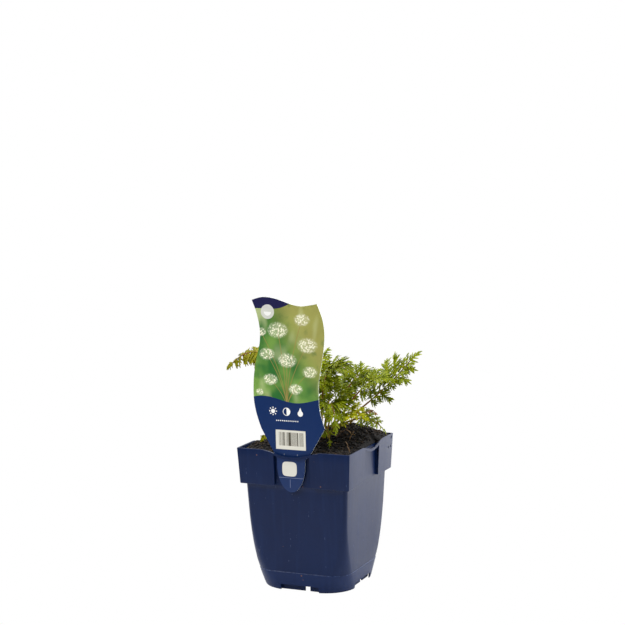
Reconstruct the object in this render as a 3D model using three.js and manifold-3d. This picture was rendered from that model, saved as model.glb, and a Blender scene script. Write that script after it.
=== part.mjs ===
// A young perennial with fern-like cut leaves, in the square nursery pot that it is sold in,
// with a printed label hooked into the pot's rim.
// Millimetres, +Z up. The origin is the middle of the pot's underside and the label stands
// on the -Y side. The pot, the compost, the label, every leaf and every dried stem is a piece.

import * as THREE from "three";
import { mergeVertices } from "three/addons/utils/BufferGeometryUtils.js";
import Module from "manifold-3d";

const wasm = await Module();
wasm.setup();

// Pot
const potHeight = 133.2;
const rimHalf = 55.8; // half of the outer width across the rim
const wall = 1.2;
const collarHeight = 33.5;
const collarDraft = 1.85; // the collar is this much narrower at its lower edge, on each side
const collarCorner = 0.9;
// Height and half width of the body below the collar, with a fine step near the underside
const bodyHalves = [[0, 44.3], [13.4, 45.65], [13.6, 45.45], [26, 46.75], [40, 47.45],
  [60, 48.25], [80, 49.3], [99.7, 50.3]];
const bodyCornerTop = 4;
const bodyCornerGrowth = 24; // added to the corner radius at the underside
const bodyCornerHeight = 70; // above this height the corners stay sharp
const floorUnder = 5.6;
const floorTop = 7;
const footOpening = 38;
const footOpeningHeight = 5.5;
const ringHalf = 40.5;
const bossRadius = 13;
const bossSides = 20;
const drainWidth = 5;
const drainOffset = 6.5;
const drainHoleRadius = 4;
const drainHolePlace = 23;
const drainLength = 13;

// Label pocket in each side of the collar, and the dip of the rim above it
const pocketHalf = 17.8;
const pocketShift = 1.2;
const pocketFloor = 51.2; // distance of the pocket's floor from the pot's axis
const pocketWallTop = 130;
const strapInside = 53.8;
const strapHeight = 2.1;
const dips = [ // on the front, the right, the back and the left
  { middle: -1.5, half: 32, depth: 5.7 },
  { middle: 4, half: 27, depth: 4.9 },
  { middle: 1.5, half: 32, depth: 5.7 },
  { middle: -4, half: 27, depth: 4.9 },
];
const dipSteps = 9;
const dipBack = 51.7; // the dip is cut back to this distance from the pot's axis

// Compost
const seatGap = 0.3; // clearance between pieces that rest on each other
const soilEdge = 130.6;
const mound = { rise: 13.5, x: 22, y: 22, spread: 25.5 };
const moundHalf = 55; // the mound falls away to nothing this far from the pot's axis
const lowCorner = { rise: -3.5, x: -50, y: -50, spread: 20 };
const leftHeap = { rise: 2.8, x: -50, y: -27, spread: 15 }; // against the left wall
const backHeap = { rise: 1.4, x: 50, y: 44, spread: 16 }; // in the back right corner
const crumb = 0.7;
const soilCell = 10;

// Label
const labelFace = -53.2; // y of the middle of the sheet
const labelThickness = 0.6;
const labelLeft = [[-38.4, 269.8], [-33.9, 258.1], [-31, 244.3], [-31.3, 230.4], [-35.4, 214.3],
  [-38, 198.2], [-38.4, 180.1], [-36, 166.2], [-31.3, 152.4]];
const labelRight = [[31.6, 155.2], [27.2, 169.8], [26.3, 180.5], [26.6, 197.5], [28.9, 211.1],
  [31.3, 225], [32.6, 240.7], [30.7, 254.4], [25.7, 267.7]];
const labelTop = [[25.7, 267.7], [13, 265.4], [4.5, 265.8], [-3.9, 268], [-15.7, 271.6], [-27.6, 272.7],
  [-38.4, 269.8]];
const labelShoulders = [[-18.4, 129.5], [16, 129]];
const tongueMiddle = -2.4;
const tongueHalf = 14.1;
const tongueTop = 125.3;
const tongueBottom = 94.8;

// Leaves. A leaf's stalk runs from its root in the compost past the knee to the tip. Its side
// leaflets start at the share "bare" of the stalk, in "pairs" pairs, the lowest of them "span" long.
// Where a leaf has "under", the first leaflets of its lower side are that much shorter.
const leafThickness = 0.6;
const stalkRadius = 1.0;
const stalkTipRadius = 0.45;
const stalkSides = 5;
const stalkSteps = 7;
const rootDepth = 7;
const footHeight = 3; // a stem stands straight up to this height over the compost
const stemClearance = 0.35;
const leafGreen = 0x7c9212;
const leafYellow = 0xaeaa1c;
const leafBronze = 0x7d7412;
const leafBrown = 0x8a6032;
const leaves = [
  { name: "leaf_right", foot: [16, 8], knee: [59, 14, 175], tip: [87, 18, 209],
    bare: 0.55, pairs: 4, span: 26, roll: 42, fold: 12, under: [0.55, 0.45], colour: leafGreen },
  { name: "leaf_upper_right", foot: [15, 3], knee: [48, 3, 196], tip: [67, -1, 195],
    bare: 0.5, pairs: 3, span: 23, roll: 28, fold: 10, colour: leafGreen },
  { name: "leaf_top", foot: [4, 5], knee: [2, 6, 220], tip: [32, 1, 200],
    bare: 0.55, pairs: 4, span: 22, roll: 16, fold: 12, colour: leafGreen },
  { name: "leaf_left", foot: [-7, -1], knee: [-34, -12, 246], tip: [-74, -25, 206],
    bare: 0.6, pairs: 4, span: 17, roll: -35, fold: -20, colour: leafBronze },
  { name: "leaf_yellow", foot: [17, -10], knee: [36, -16, 172], tip: [52, -19, 164],
    bare: 0.45, pairs: 2, span: 18, roll: 35, fold: 10, colour: leafYellow },
  { name: "leaf_low_right", foot: [20, 9], knee: [43, 9, 162], tip: [60, 11, 148],
    bare: 0.5, pairs: 2, span: 15, roll: 28, fold: 12, colour: leafGreen },
  { name: "leaf_drooping_small", foot: [5, -13], knee: [21, -24, 158], tip: [26, -30, 140],
    bare: 0.45, pairs: 1, span: 12, roll: 0, fold: 0, colour: leafGreen },
  { name: "leaf_front_right", foot: [11, -9], knee: [22, -18, 193], tip: [34, -35, 160],
    bare: 0.42, pairs: 4, span: 24, roll: 0, fold: 12, colour: leafGreen },
  { name: "leaf_middle_right", foot: [10, 3], knee: [19, 6, 184], tip: [33, 5, 177],
    bare: 0.45, pairs: 3, span: 17, roll: 35, fold: 10, colour: leafGreen },
  { name: "leaf_middle", foot: [6, -4], knee: [12, -9, 204], tip: [19, -21, 190],
    bare: 0.42, pairs: 3, span: 20, roll: 0, fold: 12, colour: leafGreen },
  { name: "leaf_back_right", foot: [11, 15], knee: [24, 28, 198], tip: [41, 38, 195],
    bare: 0.5, pairs: 3, span: 20, roll: 25, fold: 12, colour: leafGreen },
  { name: "leaf_back", foot: [3, 15], knee: [2, 34, 192], tip: [-5, 63, 182],
    bare: 0.45, pairs: 3, span: 26, roll: 0, fold: 12, colour: leafGreen },
  { name: "leaf_back_left", foot: [-5, 9], knee: [-26, 22, 187], tip: [-58, 34, 174],
    bare: 0.45, pairs: 3, span: 25, roll: 0, fold: 12, colour: leafGreen },
  { name: "leaf_front_left", foot: [-7, -6], knee: [-23, -19, 166], tip: [-40, -28, 140],
    bare: 0.5, pairs: 1, span: 14, roll: 0, fold: 0, colour: leafYellow },
  { name: "leaf_front", foot: [-1, -8], knee: [-6, -14, 188], tip: [-14, -32, 176],
    bare: 0.45, pairs: 2, span: 18, roll: 0, fold: 12, colour: leafGreen },
  { name: "leaf_inner", foot: [0, 3], knee: [-3, 7, 194], tip: [1, 19, 210],
    bare: 0.5, pairs: 3, span: 21, roll: 0, fold: 12, colour: leafGreen },
  { name: "leaf_withered", foot: [25, 24], knee: [38, 26, 161], tip: [48, 24, 158],
    bare: 0.6, pairs: 1, span: 8, roll: 0, fold: 0, colour: leafBrown },
];
const firstAngle = 72; // degrees between the lowest leaflets and the stalk
const lastAngle = 45;
const foldRange = 22; // degrees over which the fold of a leaf's leaflets varies, both ways together
const twistRange = 50; // degrees by which they turn round their own ribs, both ways together
const lobeAngle = 50;
const lobeSpacing = 10; // a leaflet has one pair of lobes for each such length
const lobeShare = 0.34; // length of a leaflet's lowest lobes as a share of the leaflet
const ribHalf = 0.55;
const droop = 0.22; // how far a leaflet's tip hangs, as a share of its length
const crossArch = 0.012;

// Dried stems of last season: foot on the compost, then top
const driedRadius = 0.65;
const driedSides = 4;
const driedStems = [
  { name: "dried_stem_1", foot: [25, -8], top: [35, -8, 148.5] },
  { name: "dried_stem_2", foot: [47, -35], top: [44, -35, 141.5] },
  { name: "dried_stem_3", foot: [37, -7], top: [41, -7, 145.5] },
  { name: "dried_stem_4", foot: [33, 2], top: [29.5, 2, 144.5] },
];

const degrees = Math.PI / 180;
const up = new THREE.Vector3(0, 0, 1);

// A steady random number from 0 to 1 for each whole seed
function scatter(seed) {
  const value = Math.sin(seed * 12.9898) * 43758.5453;
  return value - Math.floor(value);
}

// Reads a value from a list of [place, value] pairs by straight lines between them
function between(pairs, place) {
  const next = pairs.findIndex(([at]) => at >= place);
  if (next <= 0) {
    return next === 0 ? pairs[0][1] : pairs[pairs.length - 1][1];
  }
  const [fromAt, from] = pairs[next - 1];
  const [toAt, to] = pairs[next];
  return from + ((to - from) * (place - fromAt)) / (toAt - fromAt);
}

function toSolid(geometry) {
  geometry.deleteAttribute("normal");
  geometry.deleteAttribute("uv");
  const merged = mergeVertices(geometry, 1e-4);
  return new wasm.Manifold(new wasm.Mesh({
    numProp: 3,
    vertProperties: new Float32Array(merged.attributes.position.array),
    triVerts: new Uint32Array(merged.index.array),
  }));
}

function toGeometry(solid) {
  const mesh = solid.getMesh();
  const geometry = new THREE.BufferGeometry();
  geometry.setAttribute("position", new THREE.BufferAttribute(mesh.vertProperties, 3));
  geometry.setIndex(new THREE.BufferAttribute(mesh.triVerts, 1));
  geometry.computeVertexNormals();
  return geometry;
}

// A closed skin through rings of points, each ring with the same number of points,
// anticlockwise as seen from the last ring
function loft(rings) {
  const count = rings[0].length;
  const positions = rings.flat().flatMap((point) => point.toArray());
  const index = [];
  for (let ring = 0; ring + 1 < rings.length; ring += 1) {
    for (let side = 0; side < count; side += 1) {
      const a = ring * count + side;
      const b = ring * count + ((side + 1) % count);
      index.push(a, b, b + count, a, b + count, a + count);
    }
  }
  const last = (rings.length - 1) * count;
  for (let side = 1; side + 1 < count; side += 1) {
    index.push(0, side + 1, side);
    index.push(last, last + side, last + side + 1);
  }
  const geometry = new THREE.BufferGeometry();
  geometry.setAttribute("position", new THREE.Float32BufferAttribute(positions, 3));
  geometry.setIndex(index);
  return geometry;
}

// A level square with round corners
function squareRing(half, radius, z, steps) {
  const ring = [];
  for (let corner = 0; corner < 4; corner += 1) {
    for (let step = 0; step <= steps; step += 1) {
      const angle = (corner + step / steps) * 90 * degrees;
      const middle = half - radius;
      const x = middle * (corner === 0 || corner === 3 ? 1 : -1) + radius * Math.cos(angle);
      const y = middle * (corner < 2 ? 1 : -1) + radius * Math.sin(angle);
      ring.push(new THREE.Vector3(x, y, z));
    }
  }
  return ring;
}

function bodyCorner(z) {
  return bodyCornerTop + bodyCornerGrowth * Math.max(0, 1 - z / bodyCornerHeight) ** 1.8;
}

function bodyRing(z, inset, placeZ = z) {
  return squareRing(between(bodyHalves, z) - inset, bodyCorner(z) - inset, placeZ, 4);
}

function collarHalf(z) {
  return rimHalf - (collarDraft * (potHeight - z)) / collarHeight;
}

function collarSolid(inset, from, to) {
  const corner = Math.max(0.4, collarCorner - inset);
  const rings = [from, to].map((z) => squareRing(collarHalf(z) - inset, corner, z, 2));
  return toSolid(loft(rings));
}

// The body below the collar, from one height to another and set in by an inset
function bodySolid(inset, from, to) {
  const heights = bodyHalves.map(([z]) => z).filter((z) => z > from && z < to);
  const rings = [from, ...heights, to].map((z) => bodyRing(Math.max(z, 0), inset, z));
  return toSolid(loft(rings));
}

function block(fromX, toX, fromY, toY, fromZ, toZ) {
  const geometry = new THREE.BoxGeometry(toX - fromX, toY - fromY, toZ - fromZ);
  geometry.translate((fromX + toX) / 2, (fromY + toY) / 2, (fromZ + toZ) / 2);
  return toSolid(geometry);
}

// A shape drawn in x and z as seen from the front, from one y to another behind it
function frontPlate(shape, fromY, toY) {
  const geometry = new THREE.ExtrudeGeometry(shape, { depth: toY - fromY, bevelEnabled: false });
  geometry.rotateX(Math.PI / 2);
  geometry.translate(0, toY, 0);
  return toSolid(geometry);
}

// The rim's curve over a pocket, raised or lowered by a shift, closed by a level line
function dipShape({ middle, half, depth }, shift, from, to, level) {
  const shape = new THREE.Shape();
  shape.moveTo(from, level);
  for (let step = 0; step <= dipSteps; step += 1) {
    const x = from + ((to - from) * step) / dipSteps;
    const bend = Math.max(0, 1 - ((x - middle) / half) ** 2) ** 2;
    shape.lineTo(x, potHeight + shift - depth * bend);
  }
  shape.lineTo(to, level);
  return shape;
}

// One side's pocket, drawn on the front and then turned to its side: what stays solid
// inside the pot, and what is cut away
function pocket(side) {
  const lean = side % 2 === 0 ? -1 : 1;
  const middle = pocketShift * lean;
  const curve = dips[side];
  const left = middle - pocketHalf;
  const right = middle + pocketHalf;
  const below = potHeight - collarHeight;
  const above = potHeight + 5;
  const housing = block(left - wall, right + wall, -rimHalf, wall - pocketFloor, below, pocketWallTop);
  const recessShape = dipShape(curve, -strapHeight, left, right, below - 1);
  const recess = frontPlate(recessShape, -rimHalf - 2, -pocketFloor);
  const slot = block(left, right, -strapInside, -pocketFloor, below - 1, above);
  const dipEnds = [curve.middle - curve.half, curve.middle + curve.half];
  const dip = frontPlate(dipShape(curve, 0, ...dipEnds, above), -rimHalf - 2, -dipBack);
  const turned = (solid) => solid.rotate([0, 0, 90 * side]);
  return { housing: turned(housing), cuts: [recess, slot, dip].map(turned) };
}

// An upright round rod about a point, from one height to another
function rod(x, y, radius, fromZ, toZ, sides) {
  const geometry = new THREE.CylinderGeometry(radius, radius, toZ - fromZ, sides);
  geometry.rotateX(Math.PI / 2);
  geometry.translate(x, y, (fromZ + toZ) / 2);
  return toSolid(geometry);
}

// What is hollow under the floor: all inside the foot's wall but a square ring and a round boss
function hollowFoot() {
  const edge = between(bodyHalves, 0) - ringHalf;
  const ring = bodySolid(edge, 0, floorUnder).subtract(bodySolid(edge + wall, -1, floorUnder + 1));
  const boss = rod(0, 0, bossRadius, 0, floorUnder, bossSides);
  return bodySolid(wall, -1, floorUnder).subtract(ring).subtract(boss);
}

// One side's share of the openings in the foot and the floor
function drains(side) {
  const across = footOpening / 2;
  const opening = block(-across, across, -rimHalf, -ringHalf - 0.5, -1, footOpeningHeight);
  const left = drainOffset - drainWidth / 2;
  const slit = block(left, left + drainWidth, -ringHalf - 1, drainLength - ringHalf, -1, floorTop + 1);
  const hole = rod(drainHolePlace, drainHolePlace, drainHoleRadius, floorUnder - 2, floorTop + 2, 12);
  return [opening, slit, hole].map((cut) => cut.rotate([0, 0, 90 * side]));
}

function potSolid() {
  const sides = [0, 1, 2, 3];
  const pockets = sides.map(pocket);
  const ledge = potHeight - collarHeight;
  let cavity = bodySolid(wall, floorTop, ledge + wall).add(collarSolid(wall, ledge + wall, potHeight + 5));
  pockets.forEach(({ housing }) => {
    cavity = cavity.subtract(housing);
  });
  const dish = rod(0, 0, bossRadius - wall, wall, floorTop + 1, bossSides);
  let pot = bodySolid(0, 0, ledge).add(collarSolid(0, ledge, potHeight));
  pot = pot.subtract(cavity).subtract(hollowFoot()).subtract(dish);
  [...pockets.flatMap(({ cuts }) => cuts), ...sides.flatMap(drains)].forEach((cut) => {
    pot = pot.subtract(cut);
  });
  return pot;
}

// The height that a round hill adds at a place, or takes where its rise is below zero
function hill(x, y, form) {
  return form.rise * Math.exp(-((x - form.x) ** 2 + (y - form.y) ** 2) / (2 * form.spread ** 2));
}

function soilHeight(x, y) {
  const fall = (1 - (x / moundHalf) ** 8) * (1 - (y / moundHalf) ** 8);
  const edges = hill(x, y, lowCorner) + hill(x, y, leftHeap) + hill(x, y, backHeap);
  return soilEdge + fall * hill(x, y, mound) + edges;
}

// A block under the compost's surface, a grid of cells with a small crumb at each point
function soilBlock() {
  const cells = Math.ceil((2 * rimHalf) / soilCell);
  const size = cells * soilCell;
  const geometry = new THREE.BoxGeometry(size, size, 1, cells, cells, 1);
  const position = geometry.attributes.position;
  for (let i = 0; i < position.count; i += 1) {
    const x = position.getX(i);
    const y = position.getY(i);
    const seed = Math.round(x * 7 + y * 131);
    const rough = crumb * (scatter(seed) * 2 - 1);
    position.setZ(i, position.getZ(i) > 0 ? soilHeight(x, y) + rough : floorTop + seatGap);
  }
  return toSolid(geometry);
}

// A round stem along a list of centre points with a radius at each. All its rings start on the
// same hand of the upright plane in which it leans, so it has no twist.
function stem(points, radii, sides) {
  const lean = points[points.length - 1].clone().sub(points[0]);
  const sideways = new THREE.Vector3().crossVectors(up, lean).normalize();
  const rings = points.map((point, i) => {
    const ahead = points[Math.min(i + 1, points.length - 1)];
    const behind = points[Math.max(i - 1, 0)];
    const along = ahead.clone().sub(behind).normalize();
    const north = new THREE.Vector3().crossVectors(along, sideways).normalize();
    const east = new THREE.Vector3().crossVectors(north, along);
    return Array.from({ length: sides }, (_, side) => {
      const angle = (side / sides) * 2 * Math.PI;
      return point.clone()
        .addScaledVector(east, radii[i] * Math.cos(angle))
        .addScaledVector(north, radii[i] * Math.sin(angle));
    });
  });
  return toSolid(loft(rings));
}

// Where a stem leaves the compost
function footPoint([x, y]) {
  return new THREE.Vector3(x, y, soilHeight(x, y) + footHeight);
}

// The buried end of a stem below its foot, half way between straight down and the stem's own lean
function rootPoint(foot, next) {
  const down = foot.clone().sub(next).normalize().sub(up);
  return foot.clone().add(down.setLength(rootDepth + footHeight));
}

function leafRoute({ foot, knee, tip }) {
  const [from, over, to] = [footPoint(foot), new THREE.Vector3(...knee), new THREE.Vector3(...tip)];
  return new THREE.QuadraticBezierCurve3(from, over, to);
}

function stalkPoints(leaf) {
  const points = leafRoute(leaf).getPoints(stalkSteps);
  return [rootPoint(points[0], points[1]), ...points];
}

// The plain hole of a stem: its buried end, wider by the clearance and longer by it
function hole([root, foot]) {
  const down = root.clone().sub(foot).setLength(stemClearance);
  const route = [root.clone().add(down), foot.clone().sub(down)];
  return stem(route, route.map(() => stalkRadius + stemClearance), stalkSides);
}

// Half of a leaflet's outline, from its foot to its tip: a valley on the rib and then a lobe,
// over and over, each lobe shorter than the last
function lobedSide(length, pairs, seed) {
  const points = [[0, ribHalf]];
  const first = length * 0.2;
  const spacing = (length * 0.62) / pairs;
  for (let lobe = 0; lobe < pairs; lobe += 1) {
    const at = first + spacing * lobe;
    const reach = length * lobeShare * (1 - (0.55 * lobe) / pairs) * (0.85 + 0.3 * scatter(seed + lobe));
    const along = Math.cos(lobeAngle * degrees);
    const out = Math.sin(lobeAngle * degrees);
    const half = spacing * 0.42;
    const shoulder = [along * reach * 0.45 - out * half * 0.6, out * reach * 0.5 + along * half * 0.6];
    points.push([at - half, ribHalf]);
    points.push([at + shoulder[0], ribHalf + shoulder[1]]);
    points.push([at + along * reach, ribHalf + out * reach]);
  }
  const end = first + spacing * (pairs - 0.55);
  points.push([end, ribHalf]);
  points.push([(end + length) / 2, spacing * 0.42]);
  return points;
}

// One leaflet: a thin plate cut to the rib, arched along and across, standing out from the stalk
function leaflet(base, along, across, length, seed) {
  const pairs = Math.max(1, Math.min(3, Math.round(length / lobeSpacing)));
  const right = lobedSide(length, pairs, seed);
  const left = lobedSide(length, pairs, seed + 17).map(([u, v]) => [u, -v]).reverse();
  const outline = [...left, ...right, [length, 0]].map(([u, v]) => new THREE.Vector2(u, v));
  if (THREE.ShapeUtils.isClockWise(outline)) {
    outline.reverse();
  }
  const faces = THREE.ShapeUtils.triangulateShape(outline, []);
  const normal = new THREE.Vector3().crossVectors(along, across);
  const place = ({ x: u, y: v }, lift) => {
    const sag = (-droop * u * u) / length - crossArch * v * v + lift;
    return base.clone().addScaledVector(along, u).addScaledVector(across, v).addScaledVector(normal, sag);
  };
  const count = outline.length;
  const upper = outline.map((point) => place(point, leafThickness / 2));
  const lower = outline.map((point) => place(point, -leafThickness / 2));
  const positions = [...upper, ...lower].flatMap((point) => point.toArray());
  const index = faces.flatMap(([a, b, c]) => [a, b, c, a + count, c + count, b + count]);
  for (let i = 0; i < count; i += 1) {
    const next = (i + 1) % count;
    index.push(i, i + count, next, next, i + count, next + count);
  }
  const geometry = new THREE.BufferGeometry();
  geometry.setAttribute("position", new THREE.Float32BufferAttribute(positions, 3));
  geometry.setIndex(index);
  return toSolid(geometry);
}

// A whole leaf: its stalk, with pairs of leaflets that shorten to the tip and one at the end
function leafSolid(leaf, number) {
  const route = leafRoute(leaf);
  const points = stalkPoints(leaf);
  const thinning = (stalkTipRadius - stalkRadius) / stalkSteps;
  const radii = points.map((_, i) => stalkRadius + thinning * Math.max(0, i - 1));
  let solid = stem(points, radii, stalkSides);
  for (let pair = 0; pair <= leaf.pairs; pair += 1) {
    const share = pair / leaf.pairs;
    const place = Math.min(0.99, leaf.bare + (1 - leaf.bare) * share);
    const along = route.getTangent(place);
    const side = new THREE.Vector3().crossVectors(along, up).normalize();
    side.applyAxisAngle(along, leaf.roll * degrees);
    const sides = pair === leaf.pairs ? [0] : [-1, 1];
    sides.forEach((hand) => {
      const seed = number * 100 + pair * 10 + hand * 3;
      const normal = new THREE.Vector3().crossVectors(side, along);
      const angle = hand * (firstAngle + (lastAngle - firstAngle) * share) * degrees;
      const lift = (leaf.fold + foldRange * (scatter(seed) - 0.5)) * degrees;
      const direction = along.clone().applyAxisAngle(normal, -angle);
      const across = new THREE.Vector3().crossVectors(normal, direction);
      direction.applyAxisAngle(across, -lift * Math.abs(hand));
      across.applyAxisAngle(direction, twistRange * (scatter(seed + 1) - 0.5) * degrees);
      const kept = (hand === 1 && leaf.under?.[pair]) || 1;
      const size = hand === 0 ? 0.55 : (1 - 0.6 * share) * (0.86 + 0.28 * scatter(seed + 2));
      const length = leaf.span * size * kept;
      solid = solid.add(leaflet(route.getPoint(place), direction, across, length, seed));
    });
  }
  return solid;
}

function driedPoints({ foot, top }) {
  const from = footPoint(foot);
  const to = new THREE.Vector3(...top);
  return [rootPoint(from, to), from, to];
}

function driedSolid(dried) {
  const points = driedPoints(dried);
  return stem(points, points.map((_, i) => driedRadius * (1 - 0.1 * i)), driedSides);
}

function soilSolid() {
  const inset = wall + seatGap;
  const ledge = potHeight - collarHeight;
  let soil = bodySolid(inset, floorTop + seatGap, ledge + inset)
    .add(collarSolid(inset, ledge + inset, potHeight + 20));
  soil = soil.intersect(soilBlock());
  [0, 1, 2, 3].forEach((side) => {
    const lean = side % 2 === 0 ? -1 : 1;
    const left = pocketShift * lean - pocketHalf - inset;
    const right = pocketShift * lean + pocketHalf + inset;
    const clear = block(left, right, -rimHalf, inset - pocketFloor, ledge - 1, potHeight + 20);
    soil = soil.subtract(clear.rotate([0, 0, 90 * side]));
  });
  [...leaves.map(stalkPoints), ...driedStems.map(driedPoints)].forEach((points) => {
    soil = soil.subtract(hole(points));
  });
  return soil;
}

function labelSolid() {
  const shape = new THREE.Shape();
  const toPoints = (list) => list.map(([x, z]) => new THREE.Vector2(x, z));
  shape.moveTo(...labelRight[0]);
  shape.splineThru(toPoints(labelRight.slice(1)));
  shape.splineThru(toPoints(labelTop.slice(1)));
  shape.splineThru(toPoints(labelLeft.slice(1)));
  shape.lineTo(...labelShoulders[0]);
  shape.lineTo(tongueMiddle - tongueHalf, tongueTop);
  const roundMiddle = tongueBottom + tongueHalf;
  shape.lineTo(tongueMiddle - tongueHalf, roundMiddle);
  shape.absarc(tongueMiddle, roundMiddle, tongueHalf, Math.PI, 2 * Math.PI, false);
  shape.lineTo(tongueMiddle + tongueHalf, tongueTop);
  shape.lineTo(...labelShoulders[1]);
  const settings = { depth: labelThickness, bevelEnabled: false, curveSegments: 3 };
  const geometry = new THREE.ExtrudeGeometry(shape, settings);
  geometry.rotateX(Math.PI / 2);
  geometry.translate(0, labelFace + labelThickness / 2, 0);
  return toSolid(geometry);
}

function piece(name, solid, colour, roughness) {
  const material = new THREE.MeshStandardMaterial({ color: colour, roughness, metalness: 0 });
  const mesh = new THREE.Mesh(toGeometry(solid), material);
  mesh.name = name;
  return mesh;
}

const group = new THREE.Group();
group.add(piece("pot", potSolid(), 0x1c2e58, 0.5));
group.add(piece("soil", soilSolid(), 0x1d1814, 1));
group.add(piece("label", labelSolid(), 0x1e3a78, 0.35));
leaves.forEach((leaf, i) => group.add(piece(leaf.name, leafSolid(leaf, i + 1), leaf.colour, 0.6)));
driedStems.forEach((dried) => group.add(piece(dried.name, driedSolid(dried), 0x6b4a30, 0.8)));

export default group;
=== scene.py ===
# %% [markdown]
# # A fern-leaved perennial in its nursery pot
#
# The object is a young garden perennial as it stands in a shop: a square blue pot, dark compost,
# a printed label hooked into the rim, and a tuft of finely cut leaves.
# The solids that carry it come from CAD. Here each one makes way for a finer piece that keeps its
# place and its form.

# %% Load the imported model
import math

import bpy
import numpy as np
from mathutils import Matrix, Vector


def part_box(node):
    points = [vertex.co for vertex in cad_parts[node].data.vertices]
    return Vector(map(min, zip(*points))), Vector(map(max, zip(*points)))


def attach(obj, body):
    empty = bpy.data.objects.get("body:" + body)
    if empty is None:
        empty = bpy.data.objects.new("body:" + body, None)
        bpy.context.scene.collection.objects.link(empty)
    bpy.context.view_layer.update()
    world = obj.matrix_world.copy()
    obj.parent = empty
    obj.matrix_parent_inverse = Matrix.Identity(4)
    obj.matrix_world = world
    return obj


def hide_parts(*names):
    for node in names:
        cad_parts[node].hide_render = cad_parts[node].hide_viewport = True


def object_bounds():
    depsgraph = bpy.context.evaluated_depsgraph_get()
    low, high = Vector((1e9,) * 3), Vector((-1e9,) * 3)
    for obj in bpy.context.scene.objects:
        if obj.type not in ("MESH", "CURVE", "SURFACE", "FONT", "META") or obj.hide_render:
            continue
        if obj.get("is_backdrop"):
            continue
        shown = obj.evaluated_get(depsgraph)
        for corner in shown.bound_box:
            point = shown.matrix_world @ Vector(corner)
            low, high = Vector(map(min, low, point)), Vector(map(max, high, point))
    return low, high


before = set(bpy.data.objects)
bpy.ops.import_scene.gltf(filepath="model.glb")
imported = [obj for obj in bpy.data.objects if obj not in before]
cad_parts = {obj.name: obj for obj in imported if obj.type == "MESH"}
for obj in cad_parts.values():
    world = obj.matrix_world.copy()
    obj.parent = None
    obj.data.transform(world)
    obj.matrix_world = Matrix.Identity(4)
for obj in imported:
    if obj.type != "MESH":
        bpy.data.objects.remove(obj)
cad_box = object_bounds()
MM = 0.001
print("CAD nodes:", len(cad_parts))

# %% [markdown]
# ## Surfaces from arrays
#
# A plant is made of closed tubes: a stalk is a round one, a leaf lobe is as flat as a lens, and a
# crumb of compost is short and fat. One class turns stacks of rings into closed skins, so each
# piece below only has to say where its rings are. Everything is worked out in millimetres.


# %% Vectors and steady random numbers
def scatter(seed):
    """The fraction left of 43758.5453 sin(12.9898 seed): a steady random number from 0 to 1."""
    value = np.sin(np.asarray(seed, float) * 12.9898) * 43758.5453
    return value - np.floor(value)


def unit(vectors):
    """Each vector divided by its length."""
    return vectors / np.linalg.norm(vectors, axis=-1, keepdims=True)


def turned(vectors, axis, degrees):
    """v turned about the unit axis k: v cos a + (k x v) sin a + k (k . v)(1 - cos a)."""
    angle = np.radians(np.asarray(degrees, float))[..., None]
    along = np.sum(vectors * axis, axis=-1, keepdims=True)
    across = np.cross(axis, vectors)
    return vectors * np.cos(angle) + across * np.sin(angle) + axis * along * (1 - np.cos(angle))


def quarter_turned(points, times):
    """Points turned some times by 90 degrees about the upright axis: x' = -y and y' = x."""
    return points @ np.linalg.matrix_power([[0.0, 1, 0], [-1, 0, 0], [0, 0, 1]], times)


def smooth(value):
    """3 t^2 - 2 t^3 of a value held between 0 and 1."""
    held = np.clip(value, 0, 1)
    return held * held * (3 - 2 * held)


# %% Meshes
def add_object(name, points, faces, notes=None, sharp=None):
    """A smooth mesh object at the origin. Edges bent by more than sharp degrees stay hard."""
    mesh = bpy.data.meshes.new(name)
    mesh.from_pydata((np.asarray(points) * MM).tolist(), [], faces)
    for note, values in (notes or {}).items():
        mesh.attributes.new(note, "FLOAT", "POINT").data.foreach_set("value", values)
    mesh.shade_smooth()
    if sharp is not None:
        mesh.set_sharp_from_angle(angle=math.radians(sharp))
    made = bpy.data.objects.new(name, mesh)
    bpy.context.scene.collection.objects.link(made)
    return made


def round_rings(paths, radii, sides):
    """Rings about paths (path, step, xyz): centre + r (east cos a + north sin a).

    North and east are square to the path, and north stays in the upright plane in which the path
    leans from its first point to its last, so a tube has no twist."""
    along = unit(np.gradient(paths, axis=1))
    sideways = unit(np.cross([0.0, 0.0, 1.0], paths[:, -1] - paths[:, 0]))[:, None]
    north = unit(np.cross(along, sideways))
    east = np.cross(north, along)
    angle = (np.arange(sides) / sides * 2 * np.pi)[:, None]
    ring = east[:, :, None] * np.cos(angle) + north[:, :, None] * np.sin(angle)
    return paths[:, :, None] + ring * np.asarray(radii)[..., None, None]


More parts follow.
